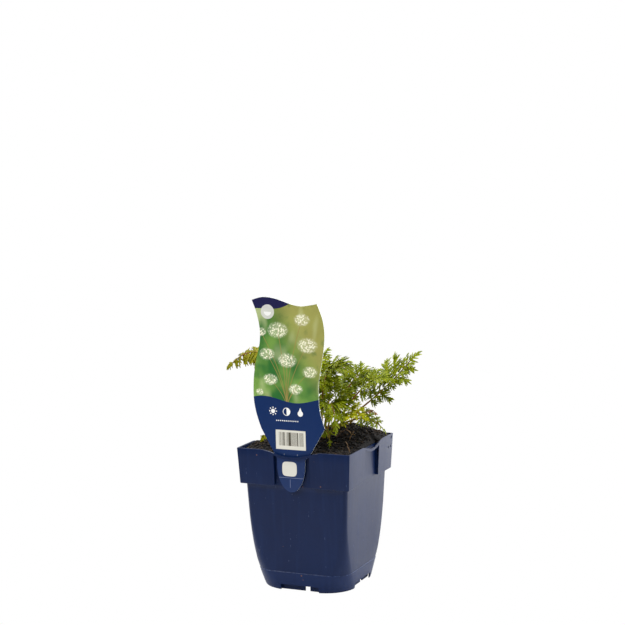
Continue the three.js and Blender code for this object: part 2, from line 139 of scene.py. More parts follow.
class Skin:
    """Gathers closed tubes and makes them one mesh."""

    def __init__(self):
        self.points, self.faces, self.notes, self.size = [], [], {}, 0

    def add(self, rings, starts, ends, **notes):
        """Joins ring i, side j to ring i + 1, side j + 1, and closes both ends with a point.

        Rings is an array of tube, ring, side, xyz. A note is a number for each point, and it
        spreads to the shape tube, ring, side. A tube that comes out inside out is turned."""
        tubes, count, sides = rings.shape[:3]
        step, side = (grid.ravel() for grid in np.mgrid[0 : count - 1, 0:sides])
        near, far = step * sides + side, step * sides + (side + 1) % sides
        quads = np.stack([near, far, far + sides, near + sides], axis=1)
        turn = np.arange(sides)
        after, last, pole = (turn + 1) % sides, (count - 1) * sides, np.full(sides, count * sides)
        caps = np.concatenate([np.stack([after, turn, pole], axis=1),
                               np.stack([last + turn, last + after, pole + 1], axis=1)])
        points = [rings.reshape(tubes, -1, 3), starts[:, None], ends[:, None]]
        points = np.concatenate(points, axis=1)
        triangles = np.concatenate([quads[:, :3], quads[:, [0, 2, 3]], caps])
        a, b, c = np.moveaxis((points - starts[:, None])[:, triangles], 2, 0)
        volume = np.sum(a * np.cross(b, c), axis=(1, 2))
        first = self.size + np.arange(tubes)[:, None, None] * points.shape[1]
        for faces in (quads, caps):
            placed = faces[None] + first
            placed[volume < 0] = placed[volume < 0][:, :, ::-1]
            self.faces += placed.reshape(-1, faces.shape[1]).tolist()
        for note, value in notes.items():
            spread = np.broadcast_to(value, rings.shape[:3])
            both = [spread.reshape(tubes, -1), spread[:, 0, :1], spread[:, -1, :1]]
            self.notes.setdefault(note, []).append(np.concatenate(both, axis=1).ravel())
        self.points.append(points.reshape(-1, 3))
        self.size += points.shape[0] * points.shape[1]

    def add_tubes(self, paths, radii, sides, **notes):
        """Adds round tubes that end where their paths end."""
        self.add(round_rings(paths, radii, sides), paths[:, 0], paths[:, -1], **notes)

    def piece(self, name, sharp=None):
        notes = {note: np.concatenate(values) for note, values in self.notes.items()}
        return add_object(name, np.concatenate(self.points), self.faces, notes, sharp)


# %% [markdown]
# ## Shader maths as plain expressions
#
# A material is easier to read as a formula than as a web of nodes. A `Value` wraps one socket, and
# an operator on it adds the Math node that does the sum. `Finish` holds a material, lays its
# colours on coat by coat, and adds every other node through one method.


# %% A socket that can be calculated with
def operator(operation):
    """A method that adds the Math node of an operation."""
    return lambda value, other: value.maths(operation, other)


class Value:
    """One output socket. The operators add Math nodes, and a | b is the larger of the two."""

    def __init__(self, nodes, socket):
        self.nodes, self.socket = nodes, socket

    def maths(self, operation, *others):
        sockets = dict(enumerate((self, *others)))
        return self.nodes.node("ShaderNodeMath", {"operation": operation}, sockets)

    __add__ = __radd__ = operator("ADD")
    __sub__ = operator("SUBTRACT")
    __mul__ = __rmul__ = operator("MULTIPLY")
    __truediv__ = operator("DIVIDE")
    __pow__ = operator("POWER")
    __gt__ = operator("GREATER_THAN")
    __lt__ = operator("LESS_THAN")
    __or__ = operator("MAXIMUM")

    def __rsub__(self, other):
        return self * -1 + other

    def size(self):
        return self.maths("ABSOLUTE")

    def held(self):
        return (self | 0.0).maths("MINIMUM", 1.0)

    def out(self, name):
        return Value(self.nodes, self.socket.node.outputs[name])


# %% The nodes of a material or of the world
class Nodes:
    """Adds nodes to the node tree of a material or of the world."""

    def __init__(self, owner):
        owner.use_nodes = True
        self.tree = owner.node_tree

    def link(self, value, socket):
        if isinstance(value, Value):
            self.tree.links.new(value.socket, socket)
        else:
            socket.default_value = value

    def node(self, kind, settings=None, sockets=None, output=0):
        """Adds a node, gives it its settings, then the values or links of its sockets."""
        made = self.tree.nodes.new(kind)
        for name, value in (settings or {}).items():
            setattr(made, name, value)
        for name, value in (sockets or {}).items():
            self.link(value, made.inputs[name])
        return Value(self, made.outputs[output])

    def fade(self, value, start, end):
        """0 before start, 1 after end and a smooth rise between them."""
        settings = {"interpolation_type": "SMOOTHSTEP"}
        return self.node("ShaderNodeMapRange", settings, {0: value, 1: start, 2: end})

    def camera_ray(self):
        """1 where the camera itself looks at the surface, 0 where it only gives light."""
        return self.node("ShaderNodeLightPath", output="Is Camera Ray")


# %% A material
def shade(red, green, blue):
    """A screen colour from 0 to 255 as linear light: ((c + 0.055) / 1.055) ^ 2.4."""
    screen = np.array([red, green, blue]) / 255
    linear = np.where(screen < 0.04, screen / 12.92, ((screen + 0.055) / 1.055) ** 2.4)
    return (*linear.tolist(), 1.0)


class Finish(Nodes):
    """A material with one Principled shader. Place is a point's place in millimetres."""

    def __init__(self, name, **settings):
        self.material = bpy.data.materials.new(name)
        super().__init__(self.material)
        self.shader = self.tree.nodes["Principled BSDF"]
        for socket, value in settings.items():
            self.shader.inputs[socket.replace("_", " ")].default_value = value
        found = self.node("ShaderNodeTexCoord", output="Object")
        self.place = self.stretched((1 / MM, 1 / MM, 1 / MM), found)

    def stretched(self, scale, place=None):
        """A place whose x, y and z are multiplied by a scale."""
        sockets = {"Vector": place or self.place, "Scale": scale}
        return self.node("ShaderNodeMapping", {"vector_type": "POINT"}, sockets)

    def axes(self):
        split = self.node("ShaderNodeSeparateXYZ", None, {"Vector": self.place}, "X")
        return split, split.out("Y"), split.out("Z")

    def note(self, name):
        return self.node("ShaderNodeAttribute", {"attribute_name": name}, None, "Fac")

    def noise(self, grain, detail=3.0, place=None):
        """Cloudy noise whose blotches are about grain millimetres wide, from 0 to 1."""
        sockets = {"Vector": place or self.place, "Scale": 1 / grain, "Detail": detail}
        return self.node("ShaderNodeTexNoise", None, sockets, "Fac")

    def cells(self, grain):
        """Distance, in cells of about grain millimetres, to the nearest of scattered points."""
        sockets = {"Vector": self.place, "Scale": 1 / grain}
        return self.node("ShaderNodeTexVoronoi", None, sockets, "Distance")

    def near(self, point, radius):
        """1 within a radius of a point and 0 farther off, with a soft edge."""
        sockets = {0: self.place, 1: point}
        away = self.node("ShaderNodeVectorMath", {"operation": "DISTANCE"}, sockets, "Value")
        return 1 - self.fade(away, radius * 0.6, radius * 1.2)

    def blend(self, share, first, second):
        """The first colour where share is 0, the second where it is 1."""
        return self.node("ShaderNodeMix", {"data_type": "RGBA"}, {0: share, 6: first, 7: second}, 2)

    def colour(self, tone):
        """Makes a tone the surface's own colour."""
        self.tone = tone
        self.link(tone, self.shader.inputs["Base Color"])

    def coat(self, share, *colour):
        """Lays a screen colour over the tone so far, as strongly as share says."""
        self.colour(self.blend(share, self.tone, shade(*colour)))

    def rough(self, value):
        self.link(value, self.shader.inputs["Roughness"])

    def bump(self, height, depth):
        """Raises the surface by height times depth millimetres, in shading only."""
        sockets = {"Height": height, "Distance": depth * MM, "Strength": 1.0}
        self.link(self.node("ShaderNodeBump", None, sockets), self.shader.inputs["Normal"])

    def mix_shader(self, share, other):
        """Shows the other shader in place of the main one where share is 1."""
        main = Value(self, self.shader.outputs["BSDF"])
        both = self.node("ShaderNodeMixShader", None, {0: share, 1: main, 2: other})
        self.link(both, self.tree.nodes["Material Output"].inputs["Surface"])


def dress(piece, slot, *finishes, stands_for=()):
    """Gives a piece its materials and body, and hides the CAD nodes it stands for. Slot is not used.
    """
    for finish in finishes:
        piece.data.materials.append(finish.material)
    if stands_for:
        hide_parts(*stands_for)
    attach(piece, "root")
    print(f"{piece.name}: {len(piece.data.polygons)} faces")


# %% [markdown]
# ## The pot
#
# The real pot is one injection moulding: a square tub with thin walls that swell towards the top,
# corners that grow rounder towards the foot, and a skirt round the rim with a pocket in each side.
# It could be cut from a box with modifiers, but a square carried along one profile gives smooth
# corners of changing radius. The pockets, the dips in the rim and the openings are then cut out.

# %% The pot's sizes, in millimetres
pot_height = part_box("pot")[1].z / MM
rim_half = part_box("pot")[1].x / MM
wall = 1.2
skirt_height = 33.5
skirt_foot = pot_height - skirt_height
skirt_draft = 1.85
skirt_corner = 0.9
foot_ledge = 17.4
body_heights = (0, foot_ledge - 0.2, foot_ledge + 0.2, 26, 40, 60, 80, 99.7)
body_halves = (44.3, 46.05, 45.84, 46.75, 47.45, 48.25, 49.3, 50.3)
side_hollow = 0.35
rim_edge, foot_edge, moulded_edge = 0.6, 0.8, 0.25
floor_under, floor_top = 5.6, 7.0
foot_opening, foot_opening_height = 38.0, 5.5
ring_half, ring_corner = 40.5, 20.0
boss_radius = 13.0
pocket_half, pocket_shift = 17.8, 1.2
pocket_floor, pocket_top = 51.2, 130.0
pocket_flare = 2.0
strap_inside, strap_height = 53.8, 2.1
# Middle, half width and depth of the rim's dip on the front, the right, the back and the left
dips = ((-1.5, 32.0, 5.7), (4.0, 27.0, 4.9), (1.5, 32.0, 5.7), (-4.0, 27.0, 4.9))
dip_back = 51.7
print(f"pot: {2 * rim_half:.1f} mm wide at the rim, {pot_height:.1f} mm high")


# %% A square with round corners, carried along a profile
def square_rings(halves, corners, heights, corner_steps=9, side_steps=6, hollow=0.0):
    """At each height a square: corner arcs m + r (cos a, sin a), joined by straight sides.

    The middle of a side is drawn in by hollow (1 - t^2), with t from -1 to 1 along the side."""
    halves, corners, heights = (np.asarray(value, float) for value in (halves, corners, heights))
    quarter = np.arange(corner_steps + 1) / corner_steps * np.pi / 2
    middle, radius = (halves - corners)[:, None], corners[:, None]
    arc = np.stack([middle + radius * np.cos(quarter), middle + radius * np.sin(quarter)], axis=-1)
    share = np.arange(1, side_steps)[None, :, None] / side_steps
    ends = np.stack([-middle[:, 0], halves], axis=-1)[:, None]
    straight = arc[:, -1:] * (1 - share) + ends * share
    straight[..., 1] -= hollow * (1 - (2 * share[..., 0] - 1) ** 2)
    side = np.concatenate([arc, straight], axis=1)
    level = np.broadcast_to(heights[:, None, None], (*side.shape[:2], 1))
    side = np.concatenate([side, level], axis=-1)
    return np.concatenate([quarter_turned(side, times) for times in range(4)], axis=1)


def body_half(z):
    return np.interp(z, body_heights, body_halves)


def body_corner(z):
    """4 mm at the top, and 24 (1 - z / 70)^1.8 mm more towards the foot."""
    return 4 + 24 * np.clip(1 - z / 70, 0, 1) ** 1.8


def skirt_half(z):
    return rim_half - skirt_draft * (pot_height - z) / skirt_height


def round_edge(half, z, radius, start, steps=4):
    """A profile's rounded edge: (half, z) + radius (cos a, sin a), from start + 90 degrees back."""
    angle = np.radians(start + 90 * np.arange(steps, -1, -1) / steps)
    return half + radius * np.cos(angle), z + radius * np.sin(angle)


def pot_profile():
    """Half width, corner radius and height of each ring, from the floor inside round to below."""
    inside = np.linspace(floor_top + 2, skirt_foot, 14)
    skirt = np.linspace(skirt_foot + wall, pot_height - rim_edge, 5)
    below, above = np.linspace(1.2, 16.4, 6), np.linspace(18.6, 99.0, 19)
    outside = np.array([*below, foot_ledge - 0.2, foot_ledge + 0.2, *above])[::-1]
    lip = skirt_half(skirt_foot) - rim_edge, skirt_foot + rim_edge
    # Half widths, their heights, and how far inside the outer faces they lie
    rows = [(np.linspace(5, body_half(floor_top) - 3, 4), floor_top, wall),
            (body_half(inside) - wall, inside, wall),
            (skirt_half(skirt) - wall, skirt, wall),
            (*round_edge(rim_half - rim_edge, pot_height - rim_edge, rim_edge, 0), 0),
            (skirt_half(skirt[-2::-1]), skirt[-2::-1], 0),
            (*round_edge(*lip, rim_edge, 270), 0),
            (body_half(skirt_foot) + 0.4, skirt_foot, 0),
            (body_half(outside), outside, 0),
            (*round_edge(body_half(0) - foot_edge, foot_edge, foot_edge, 270), 0),
            (body_half(0) - wall, np.array([0, floor_under]), wall)]
    rows = [np.broadcast_arrays(*np.atleast_1d(*row)) for row in rows]
    half, z, inset = (np.concatenate(column) for column in zip(*rows))
    in_skirt = (z > skirt_foot - 0.01) & (half > body_half(skirt_foot) + 0.3 - inset)
    corner = np.where(in_skirt, np.maximum(skirt_corner - inset, 0.4), body_corner(z) - inset)
    return half, np.minimum(corner, half * 0.9), z


def rings_object(name, rings):
    """A closed skin through rings, with a point in the middle of the first and last."""
    skin = Skin()
    skin.add(rings[None], rings[:1].mean(axis=1), rings[-1:].mean(axis=1))
    return skin.piece(name)


# %% Blocks to add and to cut away
def block(outline, near, far, side=0, upright=False):
    """An outline carried straight from near to far, along y or, if it is upright, along z.

    It is turned to one of the pot's four sides, and its faces look outwards."""
    axes = [0, 1, 2] if upright else [0, 2, 1]
    flat = np.asarray(outline, float)
    ends = [np.insert(flat, 2, level, axis=1)[:, axes] for level in (near, far)]
    points = quarter_turned(np.concatenate(ends), side)
    count = len(flat)
    first = np.arange(count)
    after = np.roll(first, -1)
    sides = np.stack([first, after, after + count, first + count], axis=1).tolist()
    faces = [first[::-1].tolist(), (first + count).tolist(), *sides]
    fans = [points[face] for face in faces]
    volume = sum(np.sum(fan[0] * np.cross(fan[1:-1], fan[2:])) for fan in fans)
    made = add_object("block", points, faces)
    if volume < 0:
        made.data.flip_normals()
    return made


def rectangle(left, right, low, high):
    return [(left, low), (right, low), (right, high), (left, high)]


def disc(x, y, radius, steps=24):
    angle = np.arange(steps) / steps * 2 * np.pi
    return np.stack([x + radius * np.cos(angle), y + radius * np.sin(angle)], axis=1)


def apply_modifiers(piece):
    """Puts what the modifiers make into the mesh, and takes them off."""
    shown = piece.evaluated_get(bpy.context.evaluated_depsgraph_get())
    made = bpy.data.meshes.new_from_object(shown)
    piece.modifiers.clear()
    piece.data = made


def combine(piece, others, operation):
    """Adds or cuts away a list of closed blocks, one after another."""
    for other in others:
        change = piece.modifiers.new(operation, "BOOLEAN")
        change.operation, change.object, change.solver = operation, other, "EXACT"
    apply_modifiers(piece)
    for other in others:
        bpy.data.objects.remove(other)


# %% One side's pocket
def pocket_middle(side):
    """A pocket sits to the left on the front and the back, and to the right on the others."""
    return pocket_shift if side % 2 else -pocket_shift


def rim_height(x, side):
    """The rim's height along a side: pot height - depth (1 - ((x - middle) / half)^2)^2."""
    middle, half, depth = dips[side]
    return pot_height - depth * np.maximum(0, 1 - ((x - middle) / half) ** 2) ** 2


def dip_line(side, shift, left, right, steps=24):
    """Points of the rim's curve over a pocket, raised or lowered by a shift."""
    x = np.linspace(left, right, steps)
    return np.stack([x, rim_height(x, side) + shift], axis=1)


def pocket_parts(side):
    """The block that carries a pocket, and the three blocks cut from it."""
    left, right = pocket_middle(side) - pocket_half, pocket_middle(side) + pocket_half
    below, above = skirt_foot - 1, pot_height + 5
    housing = rectangle(left - wall, right + wall, skirt_foot + 0.1, pocket_top)
    housing = block(housing, -skirt_half(skirt_foot) + 0.7, wall - pocket_floor, side)
    angle = np.radians(np.linspace(0, 90, 6))
    flare = pocket_flare * np.stack([np.cos(angle) - 1, 1 - np.sin(angle)], axis=1)
    recess = [*dip_line(side, -strap_height, left, right)[::-1], *([left, skirt_foot] + flare),
              (left - pocket_flare, below), (right + pocket_flare, below),
              *([right, skirt_foot] + flare * [-1, 1])[::-1]]
    dip_middle, dip_half, _ = dips[side]
    dip_left, dip_right = dip_middle - dip_half, dip_middle + dip_half
    dip = [*dip_line(side, 0, dip_left, dip_right), (dip_right, above), (dip_left, above)]
    slot = rectangle(left, right, below, above)
    return housing, [block(recess, -rim_half - 2, -pocket_floor, side),
                     block(slot, -strap_inside, -pocket_floor, side),
                     block(dip, -rim_half - 2, -dip_back, side)]


# %% Drain openings, and the ring and boss under the floor
slit_left, slit_width, slit_length = 4.0, 5.0, 13.0
drain_radius, drain_place = 4.0, 23.0


def drain_parts(side):
    """The foot's opening, a slit and a round hole in the floor."""
    opening = rectangle(-foot_opening / 2, foot_opening / 2, -1, foot_opening_height)
    slit = rectangle(slit_left, slit_left + slit_width, -ring_half - 1, slit_length - ring_half)
    hole = disc(drain_place, drain_place, drain_radius)
    return [block(opening, -rim_half, -ring_half - 0.5, side),
            block(slit, -1, floor_top + 1, side, upright=True),
            block(hole, floor_under - 2, floor_top + 2, side, upright=True)]


def foot_parts():
    """The square ring and the round boss under the floor."""
    outer = square_rings([ring_half] * 2, [ring_corner] * 2, [0, floor_under + 0.4])
    inner = square_rings([ring_half - wall] * 2, [ring_corner - wall] * 2, [-1, floor_under + 2])
    ring = rings_object("foot_ring", outer)
    combine(ring, [rings_object("foot_hollow", inner)], "DIFFERENCE")
    return [ring, block(disc(0, 0, boss_radius, 48), 0, floor_under + 0.4, upright=True)]


def make_pot():
    half, corner, z = pot_profile()
    outer = (z > foot_ledge) & (z < skirt_foot - 1) & (half > body_half(z) - 0.1)
    hollow = np.where(outer, side_hollow * np.sin(np.pi * np.clip(z / skirt_foot, 0, 1)), 0)
    pot = rings_object("pot_moulding", square_rings(half, corner, z, hollow=hollow[:, None]))
    housings, pocket_cuts = zip(*[pocket_parts(side) for side in range(4)])
    cuts = [cut for side in range(4) for cut in pocket_cuts[side] + drain_parts(side)]
    dish = block(disc(0, 0, boss_radius - wall, 48), wall, floor_top + 1, upright=True)
    combine(pot, [*housings, *foot_parts()], "UNION")
    combine(pot, [*cuts, dish], "DIFFERENCE")
    rounding = pot.modifiers.new("moulded edges", "BEVEL")
    rounding.width, rounding.segments, rounding.limit_method = moulded_edge * MM, 2, "ANGLE"
    rounding.angle_limit = math.radians(50)
    apply_modifiers(pot)
    pot.data.shade_smooth()
    pot.data.set_sharp_from_angle(angle=math.radians(32))
    return pot


pot = make_pot()


# %% [markdown]
# ### The pot's plastic
#
# The pot is recycled polypropylene, dyed dark blue: a half matt skin with faint flow streaks,
# small pale scuffs and specks of dried compost. Streaks come from noise that is stretched along
# the height, and specks from scattered cells of which only a few are kept.

# %% Blue plastic, with specks of compost on the front, painted light on the foot and painted shade on small spots on the right
dirt_specks = [((-35.7, -55.5, 127.6), 0.65), ((26.6, -54, 102.2), 0.7), ((2.6, -45.5, 15.4), 0.9)]
# Small spots on the right with their radii, darkened with painted shade: dents at the mould's pips,
# and two below the strap of the right pocket
shaded_spot_places = [((55.2, 43.5, 121.5), 1.4), ((55.2, 49, 121.5), 1.4), ((55.6, 50.5, 130), 1.6),
              ((55.3, -9.5, 125.4), 1.8), ((55.3, -8, 124.4), 1.4)]


def plastic_finish():
    finish = Finish("blue_plastic", IOR=1.25)
    height = finish.axes()[2]
    cloud = finish.noise(60.0, 4.0)
    streaks = finish.noise(1.0, 3.0, finish.stretched((0.25, 0.25, 0.012)))
    scuffs = finish.noise(2.2, 6.0, finish.stretched((1.0, 1.0, 0.35)))
    finish.colour(finish.blend(cloud, shade(1, 17, 50), shade(4, 27, 66)))
    finish.coat(finish.fade(streaks, 0.45, 0.75) * 0.2, 18, 40, 82)
    finish.coat(finish.fade(scuffs, 0.68, 0.76) * 0.35, 92, 104, 140)
    # Below the foot's ledge the blue is painted lighter: painted light from the floor
    finish.coat((height < foot_ledge) * 0.3, 24, 42, 84)
    # A painted highlight along the top of the foot's ledge, broken up by the scuff noise
    ledge = 1 - finish.fade((height - foot_ledge).size(), 0.15, 0.5)
    finish.coat(ledge * finish.fade(scuffs, 0.35, 0.75) * 0.3, 96, 112, 150)
    chosen = finish.noise(14.0, 0.0) > 0.62
    dirt = (1 - finish.fade(finish.cells(9.0), 0.03, 0.07)) * chosen
    for point, size in dirt_specks:
        dirt = dirt | finish.near(point, size)
    finish.coat(dirt, 92, 66, 60)
    shaded_spots = sum(finish.near(point, size) for point, size in shaded_spot_places)
    finish.rough(0.36 + cloud * 0.1 + finish.fade(scuffs, 0.5, 0.8) * 0.06)
    grain = streaks * 0.2 + finish.noise(0.5, 2.0) * 0.03
    finish.bump(grain + cloud * 2.0 - shaded_spots * 4.0, 0.1)
    # Painted shade: on those spots a dark diffuse shader takes the place of the plastic's sheen
    spot_shade_shader = finish.node("ShaderNodeBsdfDiffuse", None, {"Color": shade(16, 22, 40)})
    finish.mix_shader(shaded_spots * 0.8, spot_shade_shader)
    return finish


dress(pot, "pot_plastic", plastic_finish(), stands_for=["pot"])

# %% [markdown]
# ## The compost
#
# Compost is dark peat: rough clods of all sizes with crumbs, fibres and a few pale chips on top.
# One block fills the pot. Its top is a finely divided surface raised by rounded cells of three
# sizes, and the loose crumbs, fibres and chips are pieces that lie on it.

# %% The compost's sizes
soil_inset = wall + 0.3
soil_edge = 130.6
# Rise, x, y and spread of the mound, and of a low corner and two heaps at the walls
mound = (13.5, 22.0, 22.0, 25.5)
wall_forms = ((-3.5, -50.0, -50.0, 20.0), (2.8, -50.0, -27.0, 15.0), (1.4, 50.0, 44.0, 16.0))
mound_half = 55.0
spill_slope = 1.3
# How far from the middle crumbs lie, clods stand up, and the free space ends
litter_half, clod_half, inner_half = 53.4, 54.3, 54.6
# How far fibres reach to the back and the sides, and to the front behind the label
fibre_half, fibre_front = 50.5, -48.5


# %% Height of the compost
def hill(x, y, rise, x_0, y_0, spread):
    """rise exp(-((x - x0)^2 + (y - y0)^2) / (2 spread^2))"""
    return rise * np.exp(-((x - x_0) ** 2 + (y - y_0) ** 2) / (2 * spread**2))


def soil_height(x, y):
    """The even height of the compost: an edge, a mound and the forms at the walls."""
    fall = (1 - (x / mound_half) ** 8) * (1 - (y / mound_half) ** 8)
    return soil_edge + fall * hill(x, y, *mound) + sum(hill(x, y, *form) for form in wall_forms)


def spill_height(x, y):
    """The height to which compost can lie beside a wall: the wall's top + 1.3 times the distance.

    That holds for the pockets, past whose ends it rises as steeply, and for the rim's line."""
    lowest = np.full(np.shape(x), 200.0)
    for side in range(4):
        past_end = np.maximum(0, np.abs(x - pocket_middle(side)) - pocket_half - 1)
        pocket = pocket_top + 0.4 + spill_slope * (pocket_floor + y + past_end)
        rim = rim_height(x, side) + 0.2 + spill_slope * (rim_half - wall + y)
        lowest = np.minimum(lowest, np.minimum(pocket, rim))
        x, y = y, -x
    return lowest


def clods(x, y, size, seed):
    """Rounded lumps: sqrt(1 - d^2) of the distance d, in cells, to the nearest jittered point."""
    column, row = np.floor(x / size), np.floor(y / size)
    nearest = np.full(x.shape, 9.0)
    for i in (-1, 0, 1):
        for j in (-1, 0, 1):
            number = (column + i) * 57 + (row + j) * 131 + seed
            point_x = (column + i + scatter(number)) * size
            point_y = (row + j + scatter(number + 7)) * size
            away = np.hypot(x - point_x, y - point_y) / size
            nearest = np.minimum(nearest, away * (0.8 + 0.5 * scatter(number + 3)))
    return np.sqrt(np.maximum(0, 1 - np.minimum(nearest, 1) ** 2))


def soil_surface(x, y):
    """The compost's height with its clods of 9, 4 and 1.8 mm."""
    rough = 1.5 * clods(x, y, 9.0, 1) + 1.1 * clods(x, y, 4.0, 2) + 0.6 * clods(x, y, 1.8, 3)
    edge = smooth((clod_half - np.maximum(np.abs(x), np.abs(y))) / 4)
    free = soil_height(x, y) + (rough - 2.1) * (0.35 + 0.65 * edge)
    return np.minimum(free, spill_height(x, y) + 0.35 * (rough - 1.9))


# %% The block of compost
def make_soil():
    """Rings from the pot's floor up its walls, then from the rim in to the middle of the top."""
    sides = {"corner_steps": 5, "side_steps": 90}
    up = np.array([floor_top + 0.3, 30, 60, 80, skirt_foot])
    walls = square_rings(body_half(up) - soil_inset, body_corner(up) - soil_inset, up, **sides)
    skirt_z = np.array([skirt_foot + soil_inset, 115, 126])
    skirt_rings = square_rings(skirt_half(skirt_z) - soil_inset, [0.4] * 3, skirt_z, **sides)
    half = (rim_half - 0.1 - soil_inset) * np.linspace(1, 0.012, 92)
    top = square_rings(half, half * 0.12 + 0.2 * (half > 20), half * 0, **sides)
    top[..., 2] = soil_surface(top[..., 0], top[..., 1])
    return rings_object("compost_block", np.concatenate([walls, skirt_rings, top]))


def pocket_clear(side):
    """What a pocket takes out of the compost: its walls below its top, and its slot above.

    The outline stands across the pocket's wall and is carried along it."""
    middle, reach = pocket_middle(side), pocket_half + soil_inset
    outside, behind_wall, behind_slot = -rim_half - 1, soil_inset - pocket_floor, 0.2 - pocket_floor
    low, step, high = skirt_foot - 1, pocket_top + 0.1, pot_height + 20
    outline = [(outside, low), (behind_wall, low), (behind_wall, step), (behind_slot, step),
               (behind_slot, high), (outside, high)]
    return block(outline, -middle - reach, reach - middle, side + 1)


soil = make_soil()
combine(soil, [pocket_clear(side) for side in range(4)], "DIFFERENCE")


# %% Loose crumbs and chips
def over_pocket(x, y):
    """True above the pockets and their walls."""
    found = np.zeros(np.shape(x), bool)
    for side in range(4):
        found |= (np.abs(x - pocket_middle(side)) < pocket_half + 2.2) & (y < 1.8 - pocket_floor)
        x, y = y, -x
    return found


def spread_points(count, seed):
    """Count places over the compost, and none above a pocket."""
    number = np.arange(count) * 3 + seed
    x, y = ((2 * scatter(number + step) - 1) * litter_half for step in (0, 1))
    return np.stack([x, y], axis=1)[~over_pocket(x, y)]


def make_crumbs(name, count, smallest, largest, seed, flat=0.7):
    """Lumps of three rings of six points on a ball, each pushed in or out by chance.

    A lump's size is smallest + (largest - smallest) n^3, with n from 0 to 1 by chance. By a wall
    it is at most 0.35 times the distance from it."""
    places = spread_points(count, seed)
    number = np.arange(len(places)) + seed
    sizes = smallest + (largest - smallest) * scatter(number * 5) ** 3
    sizes = np.minimum(sizes, 0.35 * (inner_half - np.abs(places).max(axis=1)))
    tilt = np.radians([-50, 0, 50])[:, None]
    turn = np.arange(6) / 6 * 2 * np.pi + scatter(number)[:, None, None] * 6
    chance = scatter(np.arange(18 * len(places)).reshape(-1, 3, 6) + seed)
    reach = sizes[:, None, None] * (0.65 + 0.7 * chance)
    stretch = 1 + 0.6 * scatter(number + 5)[:, None, None]
    across, lift = reach * np.cos(tilt), reach * np.sin(tilt) * flat
    ball = np.stack([across * np.cos(turn) * stretch, across * np.sin(turn), lift], axis=-1)
    level = soil_surface(places[:, 0], places[:, 1]) + sizes * 0.25
    centre = np.column_stack([places, level])
    rise = np.outer(sizes * flat * 0.9, [0, 0, 1])
    skin = Skin()
    skin.add(centre[:, None, None] + ball, centre - rise, centre + rise,
             tint=scatter(number + 11)[:, None, None])
    return skin.piece(name)


crumbs = make_crumbs("compost_crumbs", 4200, 0.3, 1.7, 100)
chips = make_crumbs("compost_chips", 260, 0.35, 1.2, 900, 0.35)


# %% Fibres
def make_fibres(count=420, steps=7):
    """Each fibre lies on the compost: foot + heading s + side bend s^2, with lifted ends."""
    places = spread_points(count, 400)
    number = np.arange(len(places))[:, None]
    share = np.linspace(-0.5, 0.5, steps)[None]
    heading = scatter(number + 31) * 2 * np.pi
    reach = 4 + 20 * scatter(number + 47) ** 2
    bend = (scatter(number + 53) - 0.5) * reach * 1.2 * share**2
    x = places[:, :1] + np.cos(heading) * reach * share - np.sin(heading) * bend
    y = places[:, 1:] + np.sin(heading) * reach * share + np.cos(heading) * bend
    x, y = np.clip(x, -fibre_half, fibre_half), np.clip(y, fibre_front, fibre_half)
    lift = 0.4 + scatter(number + 61) * reach * 0.5 * share**2
    z = soil_surface(x, y) * 0.5 + soil_surface(places[:, :1], places[:, 1:]) * 0.5 + lift
    radii = (0.09 + 0.16 * scatter(number + 71) ** 2) * (1.1 - np.abs(share))
    skin = Skin()
    skin.add_tubes(np.stack([x, y, z], axis=-1), radii, 4, tint=scatter(number + 83)[:, :, None])
    return skin.piece("compost_fibres")


fibres = make_fibres()


# %% Compost materials
def soil_finish():
    finish = Finish("peat", Roughness=0.9, Specular_IOR_Level=0.2)
    grain, patches = finish.noise(1.1, 8.0), finish.noise(9.0)
    finish.colour(finish.blend(finish.fade(grain, 0.35, 0.7), shade(2, 2, 3), shade(21, 17, 16)))
    finish.coat(finish.fade(patches, 0.45, 0.7) * 0.5, 8, 8, 9)
    finish.bump(grain + finish.cells(0.8) * 0.6, 0.5)
    return finish


def crumb_finish(name, dark, light, roughness=0.9):
    """Each crumb or fibre has its own tone between two screen colours."""
    finish = Finish(name, Roughness=roughness, Specular_IOR_Level=0.25)
    grain = finish.noise(0.7, 4.0)
    finish.colour(finish.blend(finish.note("tint"), shade(*dark), shade(*light)))
    finish.coat(finish.fade(grain, 0.4, 0.7) * 0.5, *dark)
    finish.bump(grain, 0.25)
    return finish


dress(soil, "compost", soil_finish(), stands_for=["soil"])
dress(crumbs, "compost", crumb_finish("peat_crumbs", (2, 2, 3), (27, 22, 20)))
dress(chips, "compost", crumb_finish("bark_chips", (60, 40, 28), (168, 138, 92)))
dress(fibres, "compost", crumb_finish("peat_fibres", (20, 15, 13), (84, 66, 48)))

# %% [markdown]
# ## The label
#
# The label is a sheet of white plastic, die-cut to a wavy outline and printed on its front. Its
# tongue goes down behind the strap of the pot's pocket. The sheet is a grid between its left and
# its right edge, bowed a little as a hooked label is.

# %% The label's outline, in x and z
label_face, label_thickness = -53.2, 0.45
label_left = [(-31.3, 152.4), (-36, 166.2), (-38.4, 180.1), (-38, 198.2), (-35.4, 214.3),
              (-31.3, 230.4), (-31, 244.3), (-33.9, 258.1), (-38.4, 269.8)]
label_right = [(31.6, 155.2), (27.2, 169.8), (26.3, 180.5), (26.6, 197.5), (28.9, 211.1),
               (31.3, 225), (32.6, 240.7), (30.7, 254.4), (25.7, 267.7)]
label_top = [(-38.4, 269.8), (-27.6, 272.7), (-15.7, 271.6), (-3.9, 268), (4.5, 265.8),
             (13, 265.4), (25.7, 267.7)]
label_shoulders = [(-18.4, 129.5), (16, 129)]
tongue_middle, tongue_half = -2.4, 14.1
tongue_top, tongue_bottom, tongue_taper = 125.3, 94.8, 26.0
bow_foot, bow_height, bow_half, bow_depth = 135, 137, 36, 1.1


